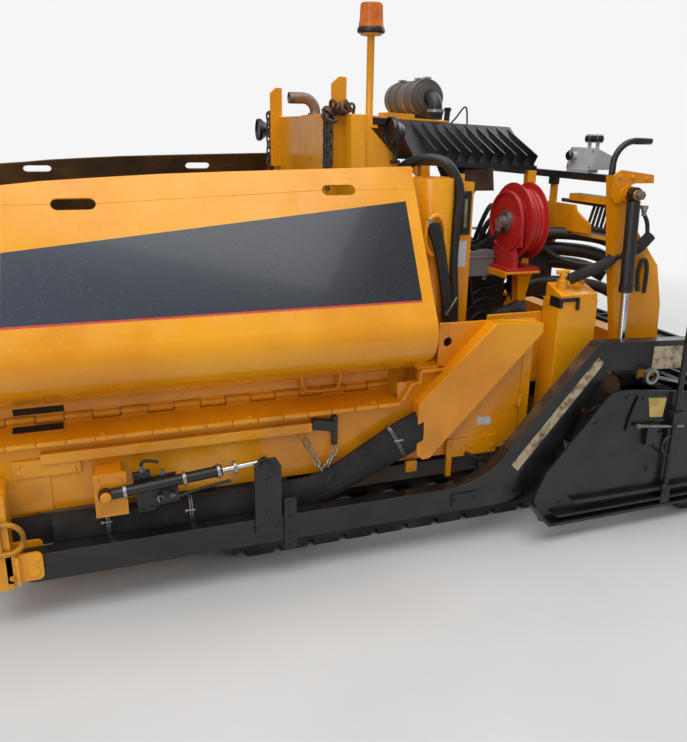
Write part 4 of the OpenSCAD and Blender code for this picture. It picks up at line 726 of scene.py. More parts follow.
def make_reel_stand():
    """Red arch and foot of the hose reel, its yellow tray and leg, its hub and its hoses."""
    x, y, z = -0.513, 0.700, 1.280
    piece = Piece("reel_arch", "red")
    outline = [(y + 0.088, 1.085), (y + 0.088, 1.173), (y + 0.131, 1.186)] + arc((y, z), 0.132, 0, 180, 25)
    outline += [(y - 0.131, 1.186), (y - 0.088, 1.173), (y - 0.088, 1.085)]
    piece.prism(outline, "x", x, x + 0.009)
    piece.washer((x + 0.008, y, z), FORE, 0.008, 0.132, 0.119, 48)
    piece.box(x + 0.008, x + 0.014, y - 0.088, y + 0.088, 1.085, 1.160)
    for low in (y - 0.088, y + 0.080):
        piece.prism([(x, 1.085), (x, 1.165), (-0.525, 1.145), (-0.525, 1.085)], "y", low, low + 0.008)
    piece.box(-0.635, -0.473, 0.610, 0.790, 1.073, 1.086)
    piece.rod((-0.629, y, z), (x + 0.010, y, z), 0.014)
    piece.turned((-0.637, y, z), FORE, [(0, 0.022), (0.003, 0.026), (0.014, 0.026)])
    piece.finish(0.0015)
    piece = Piece("reel_hub", "steel")
    piece.turned((x + 0.008, y, z), FORE, [(0, 0.050), (0.006, 0.050), (0.008, 0.044), (0.014, 0.044),
        (0.016, 0.026), (0.030, 0.026), (0.032, 0.020), (0.040, 0.020)])
    for bolt_y, bolt_z in arc((y, z), 0.036, 15, 315, 6):
        piece.bolt((x + 0.014, bolt_y, bolt_z), FORE, 0.004)
    piece.turned((x + 0.046, y, z), DOWN, [(-0.014, 0.016), (0.022, 0.016), (0.024, 0.013), (0.040, 0.013)],
        6)
    piece.finish()
    piece = Piece("reel_tray", "yellow")
    piece.box(-0.637, -0.469, 0.606, 0.794, 1.0617, 1.0727)
    piece.box(-0.470, -0.464, 0.606, 0.794, 1.045, 1.0727)
    piece.prism([(-0.560, 1.062), (-0.636, 1.062), (-0.600, 0.920), (-0.600, 0.759), (-0.572, 0.759),
        (-0.572, 0.920)], "y", 0.730, 0.742)
    piece.prism([(0.640, 1.062), (0.731, 1.062), (0.731, 0.759), (0.690, 0.759)], "x", -0.600, -0.590)
    piece.finish(0.0015)
    hoses = Piece("reel_hoses", "rubber")
    hoses.hose([(-0.467, 0.700, 1.244), (-0.462, 0.690, 1.215), (-0.440, 0.650, 1.190),
        (-0.400, 0.610, 1.140), (-0.400, 0.600, 1.020), (-0.420, 0.600, 0.900)], 0.011)
    hoses.hose([(-0.600, 0.735, 1.215), (-0.650, 0.760, 1.180), (-0.720, 0.790, 1.130),
        (-0.800, 0.850, 1.105), (-0.880, 0.900, 1.100), (-0.930, 0.915, 1.080)], 0.010)
    hoses.finish()


def make_front_corner(side):
    """Front upright with its lashing ring, tow pin clamp and the plate that carries the tow cylinder."""
    piece = Piece("tow_bracket", "yellow", side)
    piece.box(1.578, 1.640, 0.925, 1.148, 0.150, 0.3447)
    piece.box(1.578, 1.640, 0.9903, 1.148, 0.344, 0.486)
    piece.rod((1.592, 0.9903, 0.482), (1.592, 1.153, 0.482), 0.016)
    tow_x, tow_z = TOW_PIN
    pin_x, pin_z = CYLINDER_PIN
    clamp = [(1.598, 0.172), (1.598, 0.276)] + arc((1.502, 0.256), 0.020, 90, 180, 6)
    clamp += arc((1.502, 0.192), 0.020, 180, 270, 6)
    for low in (1.050, 1.136):
        piece.prism(clamp, "y", low, low + 0.012)
    piece.box(1.556, 1.566, 1.147, 1.170, 0.172, 0.276)
    piece.rod((tow_x, 1.049, tow_z), (tow_x, 1.153, tow_z), 0.020)
    piece.bolt((1.500, 1.148, 0.250), LEFT, 0.007)
    piece.bolt((1.582, 1.148, 0.192), LEFT, 0.007)
    piece.washer((1.670, 0.990, 0.245), LEFT, 0.020, 0.036, 0.018, 36)
    piece.box(1.630, 1.651, 0.990, 1.010, 0.209, 0.281)
    piece.box(1.187, 1.298, 1.0745, 1.0865, 0.338, 0.502)
    for z in (0.368, 0.490):
        piece.box(1.200, 1.290, SKIN + SEAT, 1.076, z, z + 0.010)
    piece.rod((pin_x, 1.0855, pin_z), (pin_x, 1.124, pin_z), 0.012)
    piece.turned((pin_x, 1.115, pin_z), LEFT, [(0, 0.019), (0.008, 0.019), (0.010, 0.016)])
    piece.bolts(((1.203, 0.484), (1.284, 0.486), (1.284, 0.356)), 1.0865, 0.006)
    # Bumper corner in front of the upright
    piece.prism([(1.640, 0.300), (1.700, 0.330), (1.700, 0.470), (1.640, 0.486)], "y", 1.030, 1.056)
    piece.finish(0.002)
    ring = Piece("lashing_ring", "worn_yellow", side)
    ring.tube(at_y(arc((1.587, 0.347), 0.055, 90, 270, 17), 1.160), 0.009)
    for z in (0.292, 0.402):
        ring.rod((1.584, 1.160, z), (1.640, 1.160, z), 0.010)
    ring.box(1.600, 1.638, 1.147, 1.164, 0.284, 0.410)
    ring.finish(0.0015)


def make_tow_cylinders(side):
    """Lock valve of the tow cylinder, its ports and hoses, and the rings round the barrel."""
    along = (Vector(ROD_PIN) - Vector(CYLINDER_PIN)).normalized()
    up = Vector((along.y, -along.x))

    def spot(a, b):
        """X and Z at a distance along the cylinder from its pin, and at one across it."""
        return tuple(Vector(CYLINDER_PIN) + along * a + up * b)

    body = f"tow_barrel_{side}"
    piece = Piece("lock_valve", "black", side, body)
    for a0, a1, b0, b1, depth in ((0.100, 0.162, -0.104, 0.050, 0.020),
            (0.161, 0.249, -0.092, 0.020, 0.016)):
        piece.prism([spot(a0, b0), spot(a1, b0), spot(a1, b1), spot(a0, b1)], "y", 1.066, 1.066 + depth)
    for a, b in ((0.112, -0.092), (0.150, -0.092), (0.112, 0.036)):
        x, z = spot(a, b)
        piece.cap_screw((x, 1.086, z), LEFT, 0.006)
    piece.finish(0.0015)
    piece = Piece("valve_ports", "steel", side, body)
    for a in (0.182, 0.226):
        x, z = spot(a, -0.062)
        piece.turned((x, 1.080, z), LEFT, [(0, 0.013), (0.012, 0.013), (0.013, 0.010), (0.022, 0.010)], 6)
    for a, b in ((0.135, 0.050), (0.205, 0.020)):
        x, z = spot(a, b)
        piece.turned((x, 1.076, z), (up[0], 0, up[1]), [(0, 0.011), (0.010, 0.011), (0.011, 0.008),
            (0.022, 0.008)], 6)
    for a, r in ((0.060, 0.026), (0.268, 0.026), (0.392, 0.027), (0.452, 0.026)):
        x, z = spot(a, 0)
        piece.turned((x, 1.100, z), (along[0], 0, along[1]), [(0, r - 0.006), (0, r - 0.001), (0.002, r),
            (0.010, r), (0.012, r - 0.001), (0.012, r - 0.006)])
    piece.finish()
    hoses = Piece("tow_cylinder_hoses", "rubber", side, body)
    x, z = spot(0.182, -0.062)
    hoses.hose([(x, 1.100, z), (x - 0.004, 1.120, z + 0.006), (x - 0.050, 1.124, z + 0.012),
        (x - 0.130, 1.122, z + 0.030), (x - 0.250, 1.122, z + 0.048)], 0.006)
    x, z = spot(0.135, 0.072)
    hoses.hose([(x, 1.076, z), (x - 0.004, 1.077, z + 0.012), (x - 0.020, 1.080, z + 0.018),
        (x - 0.060, 1.084, z + 0.010)], 0.006)
    hoses.finish()


def make_tow_arms(side):
    """Arm with the smooth bend of the real one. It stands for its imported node."""
    outline = arc(TOW_PIN, 0.055, 65, -90, 14)
    outline += [(-0.300, 0.152), (-0.348, 0.157), (-0.385, 0.170), (-0.418, 0.192), (-0.442, 0.222),
        (-0.600, 0.425), (-0.795, 0.690), (-0.812, 0.695), (-1.590, 0.652), (-1.590, 0.782),
        (-0.745, 0.824), (-0.727, 0.818), (-0.345, 0.400), (-0.318, 0.366), (-0.285, 0.335),
        (-0.245, 0.307), (-0.195, 0.283), (-0.140, 0.267), (-0.080, 0.259), (-0.020, 0.258)]
    piece = Piece("arm_plate", "black", side, "screed")
    piece.prism(outline, "y", ARM_IN, ARM_OUT)
    piece.box(0.582, 0.630, ARM_OUT - INTO, 1.140, 0.118, 0.330)
    piece.prism([(0.640, 0.198), (0.742, 0.198), (0.742, 0.470), (0.724, 0.505), (0.660, 0.505),
        (0.640, 0.470)], "y", ARM_OUT - INTO, 1.140)
    x, z = ROD_PIN
    piece.rod((x, 1.080, z), (x, 1.146, z), 0.012)
    piece.turned((x, 1.139, z), LEFT, [(0, 0.020), (0.008, 0.020), (0.010, 0.017)])
    piece.prism([(-0.985, 0.600), (-0.875, 0.600), (-0.855, 0.720), (-1.005, 0.720)], "y", 1.066, 1.078)
    piece.rod((-0.930, 1.006, 0.650), (-0.930, 1.071, 0.650), 0.016)
    piece.finish(0.0025)
    small = Piece("arm_bolts", "black", side, "screed")
    small.bolts(((0.606, 0.136), (0.606, 0.190), (0.606, 0.250), (0.606, 0.312), (0.658, 0.225),
        (0.724, 0.225), (0.690, 0.290), (0.690, 0.420)), 1.140, 0.009)
    # Small plate near the bend
    small.prism([(-0.080, 0.178), (-0.200, 0.186), (-0.204, 0.236), (-0.084, 0.230)], "y", ARM_OUT - INTO,
        1.136)
    for x in (-0.100, -0.184):
        small.bolt((x, 1.136, 0.207), LEFT, 0.007)
    small.finish(0.001)
    face = ARM_OUT - INTO
    strip = Piece("arm_strip", "worn_label", side, "screed")
    strip.prism([(-0.356, 0.325), (-0.387, 0.295), (-0.764, 0.733), (-0.733, 0.762)], "y", face,
        face + 0.0022)
    strip.prism([(-1.018, 0.786), (-1.240, 0.774), (-1.240, 0.672), (-1.018, 0.684)], "y", face,
        face + 0.0022)
    strip.finish()
    edge = Piece("arm_top_wear", "worn_brown", side, "screed")
    half = 0.0012
    corners = ((1.072, -half), (1.128, -half), (1.128, half), (1.072, half))
    ends = ((-0.3378, 0.394988), (-0.7122, 0.802412))
    edge.loft([[(x, y, z + up) for y, up in corners] for x, z in ends])
    edge.finish()


def make_end_gates(side):
    """End gate with its two-layer runner, height cranks, cross rod and bare label."""
    y0, y1, low = GATE_IN, GATE_OUT, 0.070
    plate = [(-0.470, low + 0.010), (-0.432, 0.150), (-0.430, 0.190), (-0.439, 0.217), (-0.479, 0.300),
        (-0.755, 0.615), (-0.775, 0.627), (-0.833, 0.633), (-1.180, 0.590), (-1.250, 0.540),
        (-1.930, 0.540), (-1.960, 0.500), (-1.960, low + 0.010)]
    runner = [(-0.420, low + 0.112), (-0.410, low + 0.104), (-0.452, low + 0.040), (-0.490, low),
        (-1.940, low), (-1.940, low + 0.014), (-0.495, low + 0.014), (-0.462, low + 0.048)]
    upper = [(-0.520, low + 0.045), (-0.540, low + 0.034), (-1.900, low + 0.034), (-1.900, low + 0.045)]
    rib = [(-0.610, low + 0.098), (-0.630, low + 0.080), (-1.300, low + 0.072), (-1.300, low + 0.090)]
    body = f"extension_{side}"
    piece = Piece("gate_plate", "black", side, body)
    piece.prism(plate, "y", y0, y1)
    piece.prism(runner, "y", y0 - 0.004, y1 + 0.040)
    piece.prism(upper, "y", y1 - INTO, y1 + 0.034)
    piece.prism(rib, "y", y1 - INTO, y1 + 0.026)
    piece.box(-1.840, -1.620, 1.185, 1.195, 0.120, 0.310)
    for x in (-1.095, -1.640):
        piece.rod((x, y1 + 0.024, low + 0.013), (x, y1 + 0.024, 0.980), 0.013)
        piece.rod((x, y1 + 0.024, 0.972), (x, y1 + 0.080, 0.972), 0.009)
        piece.box(x - 0.030, x + 0.030, y1 - INTO, y1 + 0.044, 0.470, 0.520)
        piece.turned((x, y1 + 0.024, 0.060 + low), UP, [(0, 0.022), (0.040, 0.022), (0.044, 0.018)])
        piece.box(x - 0.024, x + 0.024, y1 - INTO, y1 + 0.036, low + 0.014, low + 0.060)
    # Bracket of the cross rod and its hand loop
    piece.box(-1.010, -0.955, y1 - INTO, y1 + 0.022, 0.375, 0.470)
    piece.tube(at_y(arc((-1.080, 0.362), 0.042, -150, 150, 16, 0.046), y1 + 0.030), 0.006)
    piece.hose([(-0.900, y1 + 0.006, 0.600), (-0.870, y1 + 0.008, 0.520), (-0.855, y1 + 0.008, 0.450)],
        0.006, steps=4)
    piece.bolts(((-0.930, 0.590), (-0.840, 0.600), (-0.700, 0.500), (-0.560, 0.160), (-1.000, 0.250),
        (-1.500, 0.450), (-1.800, 0.450)), y1, 0.009)
    piece.finish(0.0018)
    rod = Piece("gate_rod", "steel", side, body)
    rod.rod((-0.895, y1 + 0.018, 0.470), (-1.150, y1 + 0.018, 0.440), 0.007)
    rod.turned((-0.912, y1 + 0.018, 0.468), FORE, [(0, 0.011), (0.018, 0.011), (0.020, 0.008)], 12)
    rod.washer((-0.985, 1.160, 0.668), LEFT, 0.020, 0.034, 0.022, 28)
    rod.rod((-1.015, 1.170, 0.660), (-1.150, 1.170, 0.625), 0.009)
    rod.finish()
    label = Piece("gate_label", "label_yellow", side, body)
    label.prism([(-0.955, 0.585), (-1.052, 0.575), (-1.044, 0.488), (-0.975, 0.496)], "y", y1 - INTO,
        y1 + 0.0008)
    label.finish()


def make_screed_discs(side):
    """Round worn boss beside the tow arm."""
    disc = Piece("screed_disc", "worn_brown", side, "screed")
    disc.turned((-0.829, 1.085, 0.600), LEFT, [(0, 0.066), (0.010, 0.066), (0.012, 0.060), (0.012, 0.020),
        (0.020, 0.018)])
    disc.finish()


def make_engine_extras():
    """Pumps behind the engine, the hoses of the bay, a sheet of painted shade, a rusty plate and relay box,
    and the rear pipe.
    """
    piece = Piece("pump_group", "engine")
    for x0, x1, y, z, r in ((-0.730, -0.679, 0, 0.930, 0.190), (-0.830, -0.729, 0.020, 0.950, 0.105),
            (-0.870, -0.829, 0.020, 0.950, 0.080), (-0.860, -0.729, 0.190, 0.990, 0.060),
            (-0.868, -0.729, -0.210, 0.960, 0.066)):
        piece.turned((x1, y, z), BACK, [(0, r), ((x1 - x0) * 0.8, r), (x1 - x0, r * 0.9)], 28)
    piece.box(-0.865, -0.750, 0.060, 0.420, 1.046, 1.140)
    piece.box(-0.865, -0.700, 0.430, 0.560, 0.900, 1.180)
    for k in range(5):
        piece.turned((-0.812, 0.090 + 0.070 * k, 1.139), UP, [(0, 0.022), (0.030, 0.022), (0.034, 0.014),
            (0.050, 0.014)], 12)
    piece.finish(0.002)
    hoses = Piece("pump_hoses", "rubber")
    maker = random.Random(7)
    for k in range(9):
        y = 0.090 + 0.055 * k
        lift = 1.175 + 0.02 * maker.random()
        hoses.hose([(-0.812 + 0.03 * maker.random(), y, lift - 0.015), (-0.800, y + 0.01, lift + 0.06),
            (-0.760, y + 0.04, lift + 0.09 * maker.random() + 0.05), (-0.690, y + 0.06, lift),
            (-0.640, y + 0.05, 1.000)], 0.012 + 0.004 * maker.random())
    for k in range(6):
        z = 0.800 + 0.062 * k
        hoses.hose([(-0.700, 0.420, z), (-0.640, 0.520, z + 0.03), (-0.560, 0.560, z - 0.02),
            (-0.470, 0.575, z - 0.05 * maker.random()), (-0.390, 0.560, z - 0.10)], 0.012)
    hoses.finish()
    thick = Piece("bay_hoses", "rubber")
    for y, z, r in ((0.60, 1.205, 0.028), (0.56, 1.130, 0.032), (0.50, 1.060, 0.030), (0.62, 0.985, 0.026)):
        thick.hose([(-0.640, y - 0.05, z - 0.080), (-0.700, y - 0.02, z - 0.020), (-0.780, y, z),
            (-0.880, y + 0.06, z + 0.004), (-0.990, y + 0.14, z - 0.010), (-1.060, y + 0.20, z - 0.050)], r,
            14)
    thick.finish()
    # Near-black sheet in the shadow material: painted shade inside the bay behind the hoses
    panel = Piece("bay_shade_sheet", "shadow")
    panel.box(-0.600, -0.330, 0.560, 0.572, 0.800, 1.160)
    panel.finish(0.002)
    box = Piece("relay_box", "grey")
    box.box(-0.495, -0.355, 0.580, 0.640, 1.030, 1.144)
    box.box(-0.500, -0.350, 0.576, 0.644, 1.112, 1.120)
    for y in (0.600, 0.620):
        box.turned((-0.380 - (y - 0.6) * 4, y, 1.029), DOWN, [(0, 0.012), (0.018, 0.012), (0.020, 0.009)],
            12)
    box.finish(0.003)
    plate = Piece("rusty_panel", "rust")
    plate.prism([(-0.489, 1.481), (-0.655, 1.481), (-0.668, 1.379), (-0.500, 1.379)], "y", 0.300, 0.306)
    plate.prism([(-0.489, 1.481), (-0.655, 1.481), (-0.655, 1.474), (-0.489, 1.474)], "y", 0.300, 0.324)
    plate.finish(0.001)
    pipe = Piece("rear_pipe", "black")
    pipe.hose([(-0.700, -0.300, 1.610), (-0.700, -0.300, 1.700), (-0.704, -0.300, 1.760)], 0.016, steps=3)
    pipe.turned((-0.704, -0.300, 1.755), UP, [(0, 0.020), (0.016, 0.020), (0.020, 0.014)], 18)
    pipe.finish()
    rag = Piece("hose_heap", "canvas")
    for k in range(7):
        a = 0.9 * k
        rag.hose([(-0.440 - 0.018 * k, 0.700 + 0.03 * math.cos(a), 0.830 + 0.012 * k),
            (-0.470 - 0.010 * k, 0.780 + 0.02 * math.sin(a), 0.880 + 0.015 * math.cos(a)),
            (-0.540, 0.800 + 0.02 * math.cos(2 * a), 0.910 + 0.012 * math.sin(a)),
            (-0.585, 0.760, 0.860 + 0.010 * k)], 0.020 + 0.003 * math.sin(a), 12)
    rag.finish()


def make_gauge_pieces():
    """Sight glass, hoses, saddle and labels beside the gauge tank."""
    plate = Piece("sight_plate", "black")
    plate.box(-0.290, -0.230, 0.7602, 0.766, 1.240, 1.415)
    for z in (1.252, 1.402):
        plate.bolt((-0.260, 0.766, z), LEFT, 0.008)
    plate.finish(0.0015)
    glass = Piece("sight_tube", "sight")
    glass.tube([(-0.260, 0.772, 1.270), (-0.260, 0.772, 1.330), (-0.260, 0.772, 1.386)], 0.008, 16)
    glass.finish()
    label = Piece("gauge_label", "pale_label")
    label.box(-0.282, -0.218, 0.7598, 0.7612, 1.100, 1.212)
    label.finish()
    hoses = Piece("gauge_hoses", "rubber")
    hoses.hose([(-0.020, 0.560, 1.470), (-0.050, 0.640, 1.520), (-0.105, 0.720, 1.545),
        (-0.160, 0.775, 1.525), (-0.200, 0.800, 1.460), (-0.212, 0.805, 1.380), (-0.205, 0.805, 1.300),
        (-0.200, 0.800, 1.140), (-0.215, 0.800, 0.960), (-0.220, 0.800, 0.800)], 0.021, 16)
    for k, r in enumerate((0.010, 0.009, 0.011, 0.008)):
        hoses.hose([(-0.050 - 0.016 * k, 0.846, 1.300), (-0.084 - 0.012 * k, 0.862, 1.209),
            (-0.116 - 0.010 * k, 0.860, 1.084), (-0.143 - 0.012 * k, 0.858, 0.929),
            (-0.150 - 0.014 * k, 0.850, 0.780)], r)
    hoses.finish()
    saddle = Piece("gauge_saddle", "yellow")
    saddle.tube(at_y(arc((-0.088, 1.251), 0.046, -80, 260, 18, 0.080), 0.848), 0.010, 10)
    saddle.box(-0.140, -0.036, 0.826, 0.838, 1.170, 1.190)
    saddle.finish()
    tap = Piece("gauge_tap", "steel")
    tap.turned((-0.150, 0.838, 0.930), LEFT, [(0, 0.016), (0.020, 0.016), (0.022, 0.010), (0.034, 0.010)],
        6)
    tap.tube([(-0.150, 0.868, 0.930), (-0.165, 0.872, 0.955), (-0.190, 0.872, 0.996)], 0.005)
    tap.turned((-0.110, 0.842, 0.930), UP, [(-0.016, 0.013), (0.010, 0.013), (0.012, 0.009),
        (0.024, 0.009)], 6)
    for z in (1.300, 0.995):
        tap.turned((-0.060, 0.846, z), UP, [(0, 0.014), (0.018, 0.014), (0.020, 0.011)], 6)
    tap.finish()


def make_tower_pieces(side):
    """Bolts, fittings and hoses round the lift tower, and the nut of its pin."""
    piece = Piece("tower_bolts", "yellow", side)
    piece.bolts(((-0.850, 1.484), (-0.912, 1.481), (-0.985, 1.474)), 0.985, 0.008)
    piece.finish()
    nut = Piece("pin_nut", "rust", side)
    x, z = LIFT_PIN
    nut.turned((x, 1.056, z), LEFT, [(0, 0.024), (0.004, 0.024), (0.005, 0.019), (0.022, 0.019),
        (0.024, 0.015)], 6)
    nut.turned((x, 1.078, z), LEFT, [(0, 0.010), (0.008, 0.010), (0.009, 0.008)], 16)
    nut.finish()
    hoses = Piece("tower_hoses", "rubber", side)
    hoses.hose([(-0.995, 0.985, 1.330), (-1.012, 0.992, 1.290), (-1.020, 0.992, 1.228),
        (-1.000, 0.992, 1.180), (-0.940, 0.990, 1.158), (-0.885, 0.975, 1.150)], 0.009)
    hoses.hose([(-1.010, 0.990, 1.000), (-1.000, 0.990, 1.080), (-1.012, 0.990, 1.130),
        (-1.034, 0.990, 1.130), (-1.046, 0.990, 1.080), (-1.046, 0.990, 0.990)], 0.009)
    hoses.finish()
    wrap = Piece("wrapped_hose", "canvas", side)
    wrap.hose([(-1.040, 0.990, 1.240), (-0.985, 0.982, 1.186), (-0.905, 0.950, 1.150),
        (-0.830, 0.972, 1.120), (-0.740, 0.970, 1.090), (-0.680, 0.950, 1.060)], 0.024, 16)
    wrap.finish()
    fit = Piece("tower_fittings", "steel", side)
    fit.turned((-0.992, 0.986, 1.352), DOWN, [(0, 0.013), (0.014, 0.013), (0.016, 0.010), (0.030, 0.010)],
        6)
    fit.box(-1.006, -0.978, 0.9735, 0.994, 1.350, 1.366)
    fit.finish(0.001)


def make_console_pieces():
    """Knobs, stems and screws of the operator's console."""
    knobs = Piece("console_knobs", "black")
    for y in (0.752, 0.697):
        knobs.turned((-0.900, y, 1.612), UP, [(0, 0.014), (0.006, 0.022), (0.020, 0.024), (0.030, 0.020),
            (0.036, 0.010)])
    knobs.turned((-0.842, 0.656, 1.556), (1, 0, 0.1), [(0, 0.012), (0.006, 0.020), (0.016, 0.022),
        (0.024, 0.014)])
    knobs.finish()
    stems = Piece("console_stems", "chrome")
    for y in (0.752, 0.697):
        stems.turned((-0.900, y, 1.560), UP, [(0, 0.014), (0.008, 0.014), (0.010, 0.007), (0.054, 0.007)],
            16)
    stems.finish()
    screws = Piece("console_screws", "steel")
    for y in (0.626, 0.778):
        for z in (1.512, 1.580):
            screws.cap_screw((-0.850 - (z - 1.512) * 0.19, y, z), (1, 0, 0.2), 0.005)
    screws.finish()


def make_side_hoses(side):
    """Clamps and front end of the hose sleeve, chain and hook, thin hoses, tabs and a bare plate."""
    steel = Piece("sleeve_clamps", "steel", side)
    for x, z, half, lean in ((1.256, 0.286, 0.064, 0), (0.960, 0.284, 0.064, 0), (0.128, 0.453, 0.084, 28)):
        turn = math.radians(lean)
        sleeve = circle(0.0375, 28, (1.0245, 0), half + 0.001)
        for shift in (Vector((0, 0, 0)), Vector((0.008, 0, -0.004 * math.sin(turn)))):
            middle = Vector((x, 0, z)) + shift
            loop = [middle + Vector((up * math.sin(turn), y, up * math.cos(turn))) for y, up in sleeve]
            steel.tube(loop + loop[:1], 0.0022, 6)
        steel.rod((x - 0.010, 1.063, z + 0.020), (x + 0.022, 1.063, z + 0.020), 0.004, 12)
        steel.turned((x + 0.020, 1.063, z + 0.020), FORE, [(0, 0.007), (0.008, 0.007), (0.009, 0.005)], 6)
    # Chain from the hook on the rail's end
    links = [(0.515, 0.512), (0.495, 0.470), (0.475, 0.428), (0.457, 0.390), (0.438, 0.356), (0.420, 0.390),
        (0.402, 0.425), (0.386, 0.458)]
    for k in range(len(links) - 1):
        (x0, z0), (x1, z1) = links[k], links[k + 1]
        middle = Vector(((x0 + x1) / 2, 1.018, (z0 + z1) / 2))
        way = Vector((x1 - x0, 0, z1 - z0))
        half, way = way.length / 2 + 0.004, way.normalized()
        wide = Vector(LEFT) if k % 2 else way.cross(Vector(LEFT))
        loop = arc((0, 0), half, 0, 360, 17, 0.011)
        steel.tube([middle + way * a + wide * b for a, b in loop], 0.0038, 8)
    steel.finish()
    wrap = Piece("sleeve_front", "canvas", side)
    wrap.loft([[(x, y, z) for y, z in circle(0.030, 20, (1.010, 0.288), tall)]
               for x, tall in ((1.430, 0.058), (1.480, 0.060), (1.530, 0.057), (1.577, 0.055))])
    wrap.finish()
    black = Piece("hook_socket", "black", side)
    black.prism([(0.478, 0.583), (0.478, 0.541), (0.392, 0.527), (0.388, 0.569)], "y", 0.986, 1.016)
    black.box(0.374, 0.396, 0.986, 1.006, 0.464, 0.586)
    black.finish(0.003)
    thin = Piece("thin_hoses", "rubber", side)
    thin.hose([(0.440, 1.058, 0.330), (0.400, 1.040, 0.368), (0.330, 1.012, 0.392), (0.240, 1.010, 0.410),
        (0.130, 1.010, 0.428), (0.030, 1.006, 0.452)], 0.0045, 8)
    thin.hose([(0.440, 1.058, 0.318), (0.400, 1.042, 0.352), (0.330, 1.012, 0.378), (0.240, 1.010, 0.397),
        (0.130, 1.010, 0.415), (0.030, 1.006, 0.440)], 0.0045, 8)
    thin.hose([(-0.200, 1.010, 0.350), (-0.240, 1.020, 0.330), (-0.290, 1.026, 0.310),
        (-0.347, 1.026, 0.268), (-0.380, 1.010, 0.220), (-0.400, 0.990, 0.200)], 0.009, 10)
    thin.finish()
    tabs = Piece("cover_tabs", "yellow", side)
    tabs.box(0.022, 0.070, 0.990, 1.006, 0.298, 0.346)
    tabs.bolt((0.046, 1.006, 0.320), LEFT, 0.007)
    tabs.box(-0.140, -0.118, 0.990, 1.004, 0.250, 0.338)
    tabs.finish(0.0015)
    plate = Piece("blank_plate", "pale_label", side)
    plate.prism([(-0.250, 0.505), (-0.318, 0.498), (-0.322, 0.462), (-0.254, 0.469)], "y", 0.9978, 0.999)
    plate.finish()


def make_top_pieces():
    """Ring and ribs of the beacon, bands and wire of the air cleaner."""
    beacon = (0.090, 0.545)
    ring = Piece("beacon_ring", "black")
    ring.turned((*beacon, 2.020), UP, [(0, 0.052), (0.004, 0.056), (0.012, 0.056), (0.022, 0.052)], 36)
    ring.finish()
    cap = Piece("beacon_ribs", "amber")
    for low, high in zip(circle(0.0455, 24, beacon), circle(0.0425, 24, beacon)):
        cap.rod((*low, 2.062), (*high, 2.124), 0.0022, 6)
    cap.finish()
    straps = Piece("cleaner_bands", "steel")
    x, z = -0.352, 1.800
    for y in (-0.130, 0.060, 0.150):
        straps.turned((x, y, z), LEFT, [(0, 0.080), (0, 0.0845), (0.003, 0.0855), (0.012, 0.0855),
            (0.015, 0.0845), (0.015, 0.080)], 40)
        straps.box(x - 0.010, x + 0.010, y, y + 0.015, z + 0.084, z + 0.094)
        straps.rod((x - 0.023, y + 0.007, z + 0.089), (x + 0.023, y + 0.007, z + 0.089), 0.004, 12)
    straps.turned((x, 0.262, 1.735), UP, [(0, 0.036), (0, 0.0395), (0.012, 0.0395), (0.012, 0.036)], 30)
    straps.finish()
    wire = Piece("cleaner_wire", "rubber")
    wire.hose([(-0.380, 0.270, 1.650), (-0.430, 0.300, 1.700), (-0.480, 0.310, 1.760),
        (-0.500, 0.300, 1.700), (-0.505, 0.290, 1.600)], 0.004, 8, steps=6)
    wire.finish()


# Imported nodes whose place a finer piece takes
STANDS_FOR = {
    "wing_sheet_left": ["wing_left"], "wing_sheet_right": ["wing_right"],
    "side_plate_left": ["side_plates"], "side_guard_left": ["side_guards"], "side_tank_left": ["side_tanks"],
    "reel_arch": ["reel_stand"], "tow_bracket_left": ["tow_brackets"], "arm_plate_left": ["tow_arm_left"],
    "arm_plate_right": ["tow_arm_right"], "gate_plate_left": ["end_gate_left"],
    "gate_plate_right": ["end_gate_right"],
}


def on_both_sides(*makers):
    """Calls each maker for the left side, then for the right."""
    for make in makers:
        for side in SIDES:
            make(side)


def make_pieces():
    """All the pieces that Blender makes, in a fixed order."""
    on_both_sides(make_wing_pieces, make_side_plates, make_side_guards, make_side_tanks)
    make_tank_fittings()
    make_reel_stand()
    on_both_sides(make_front_corner, make_tow_cylinders, make_tow_arms, make_end_gates, make_screed_discs)
    make_engine_extras()
    make_gauge_pieces()
    on_both_sides(make_tower_pieces)
    make_console_pieces()
    on_both_sides(make_side_hoses)
    make_top_pieces()
    for name, nodes in STANDS_FOR.items():
        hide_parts(*nodes)


def finish_nodes():
    """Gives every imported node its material. What no list names is yellow paint."""
    finish_of = {node: name for name, nodes in FINISH.items() for node in nodes}
    for name, node in NODES.items():
        material = MATERIALS[finish_of.get(name, "yellow")]
        node.data.materials.clear()
        node.data.materials.append(material)


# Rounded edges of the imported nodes: width, least angle in degrees, reach of the weld, and exceptions
EDGE_W = 0.0022
EDGE_ANGLE = 38
WELD_REACH = 0.00002
KEEP_EDGES = ("track", "auger_l", "auger_r", "hose_sleeves", "conveyor", "hood")


def soften_edges():
    """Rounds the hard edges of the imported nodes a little, as plate edges are."""
    for name, node in NODES.items():
        if name.startswith(KEEP_EDGES):
            continue
        weld = node.modifiers.new("weld", "WELD")
        weld.merge_threshold = WELD_REACH
        bevel = node.modifiers.new("bevel", "BEVEL")
        bevel.width = EDGE_W
        bevel.segments = 2
        bevel.limit_method = "ANGLE"
        bevel.angle_limit = math.radians(EDGE_ANGLE)
        bevel.use_clamp_overlap = True


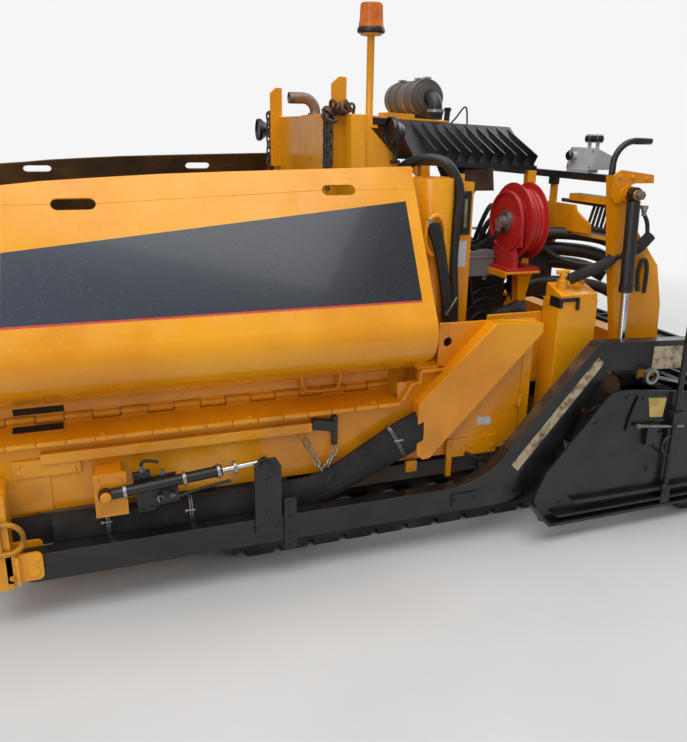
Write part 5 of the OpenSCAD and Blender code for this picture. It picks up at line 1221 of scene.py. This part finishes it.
def make_floor():
    """Pale floor. Far from the machine it turns into the white backdrop."""
    floor = bpy.data.objects.new("floor", bpy.data.meshes.new("floor"))
    grid = bmesh.new()
    bmesh.ops.create_grid(grid, x_segments=1, y_segments=1, size=FLOOR_HALF)
    grid.to_mesh(floor.data)
    grid.free()
    bpy.context.scene.collection.objects.link(floor)
    material, tree, bsdf = new_material("pale_floor", (0.62, 0.62, 0.61), 0.6)
    tone = noise(tree, place_of(tree), 1.3, 6.0, 0.2, 0.8)
    set_colour(tree, bsdf, blend_colour(tree, tone, (0.60, 0.60, 0.59), (0.66, 0.66, 0.655)))
    far = add(tree, "VectorMath", {0: place_of(tree)}, operation="LENGTH").outputs["Value"]
    glow = add(tree, "Emission", {"Color": WHITE, "Strength": BACKDROP})
    share = times(tree, spread(tree, far, *FADE), add(tree, "LightPath").outputs["Is Camera Ray"])
    mix = add(tree, "MixShader", {0: share, 1: bsdf.outputs[0], 2: glow.outputs[0]})
    tree.links.new(mix.outputs[0], tree.nodes["Material Output"].inputs["Surface"])
    floor.data.materials.append(material)


def make_world():
    """Soft ambient light, and a white backdrop for what the camera sees."""
    world = bpy.data.worlds.new("world")
    bpy.context.scene.world = world
    world.use_nodes = True
    tree = world.node_tree
    plain = tree.nodes["Background"]
    plain.inputs["Color"].default_value = (0.93, 0.96, 1.0, 1)
    plain.inputs["Strength"].default_value = AMBIENT
    seen = add(tree, "Background", {"Color": WHITE, "Strength": BACKDROP})
    path = add(tree, "LightPath")
    either = add(tree, "Math", {0: path.outputs["Is Camera Ray"], 1: path.outputs["Is Transmission Ray"]},
        operation="MAXIMUM")
    mix = add(tree, "MixShader", {0: either.outputs[0], 1: plain.outputs[0], 2: seen.outputs[0]})
    tree.links.new(mix.outputs[0], tree.nodes["World Output"].inputs["Surface"])


def make_lamps():
    """Large soft lamps, aimed at the middle of the machine."""
    for name, place, size, power in LAMPS:
        lamp = bpy.data.lights.new(name, "AREA")
        lamp.size = size
        lamp.energy = power
        holder = bpy.data.objects.new(name, lamp)
        bpy.context.scene.collection.objects.link(holder)
        holder.location = place
        aim = LAMPS_FACE - Vector(place)
        holder.rotation_mode = "QUATERNION"
        holder.rotation_quaternion = aim.to_track_quat("-Z", "Y")


make_camera()
make_floor()
make_world()
make_lamps()
finish_nodes()
soften_edges()
make_pieces()
bpy.context.scene.view_settings.view_transform = "Standard"
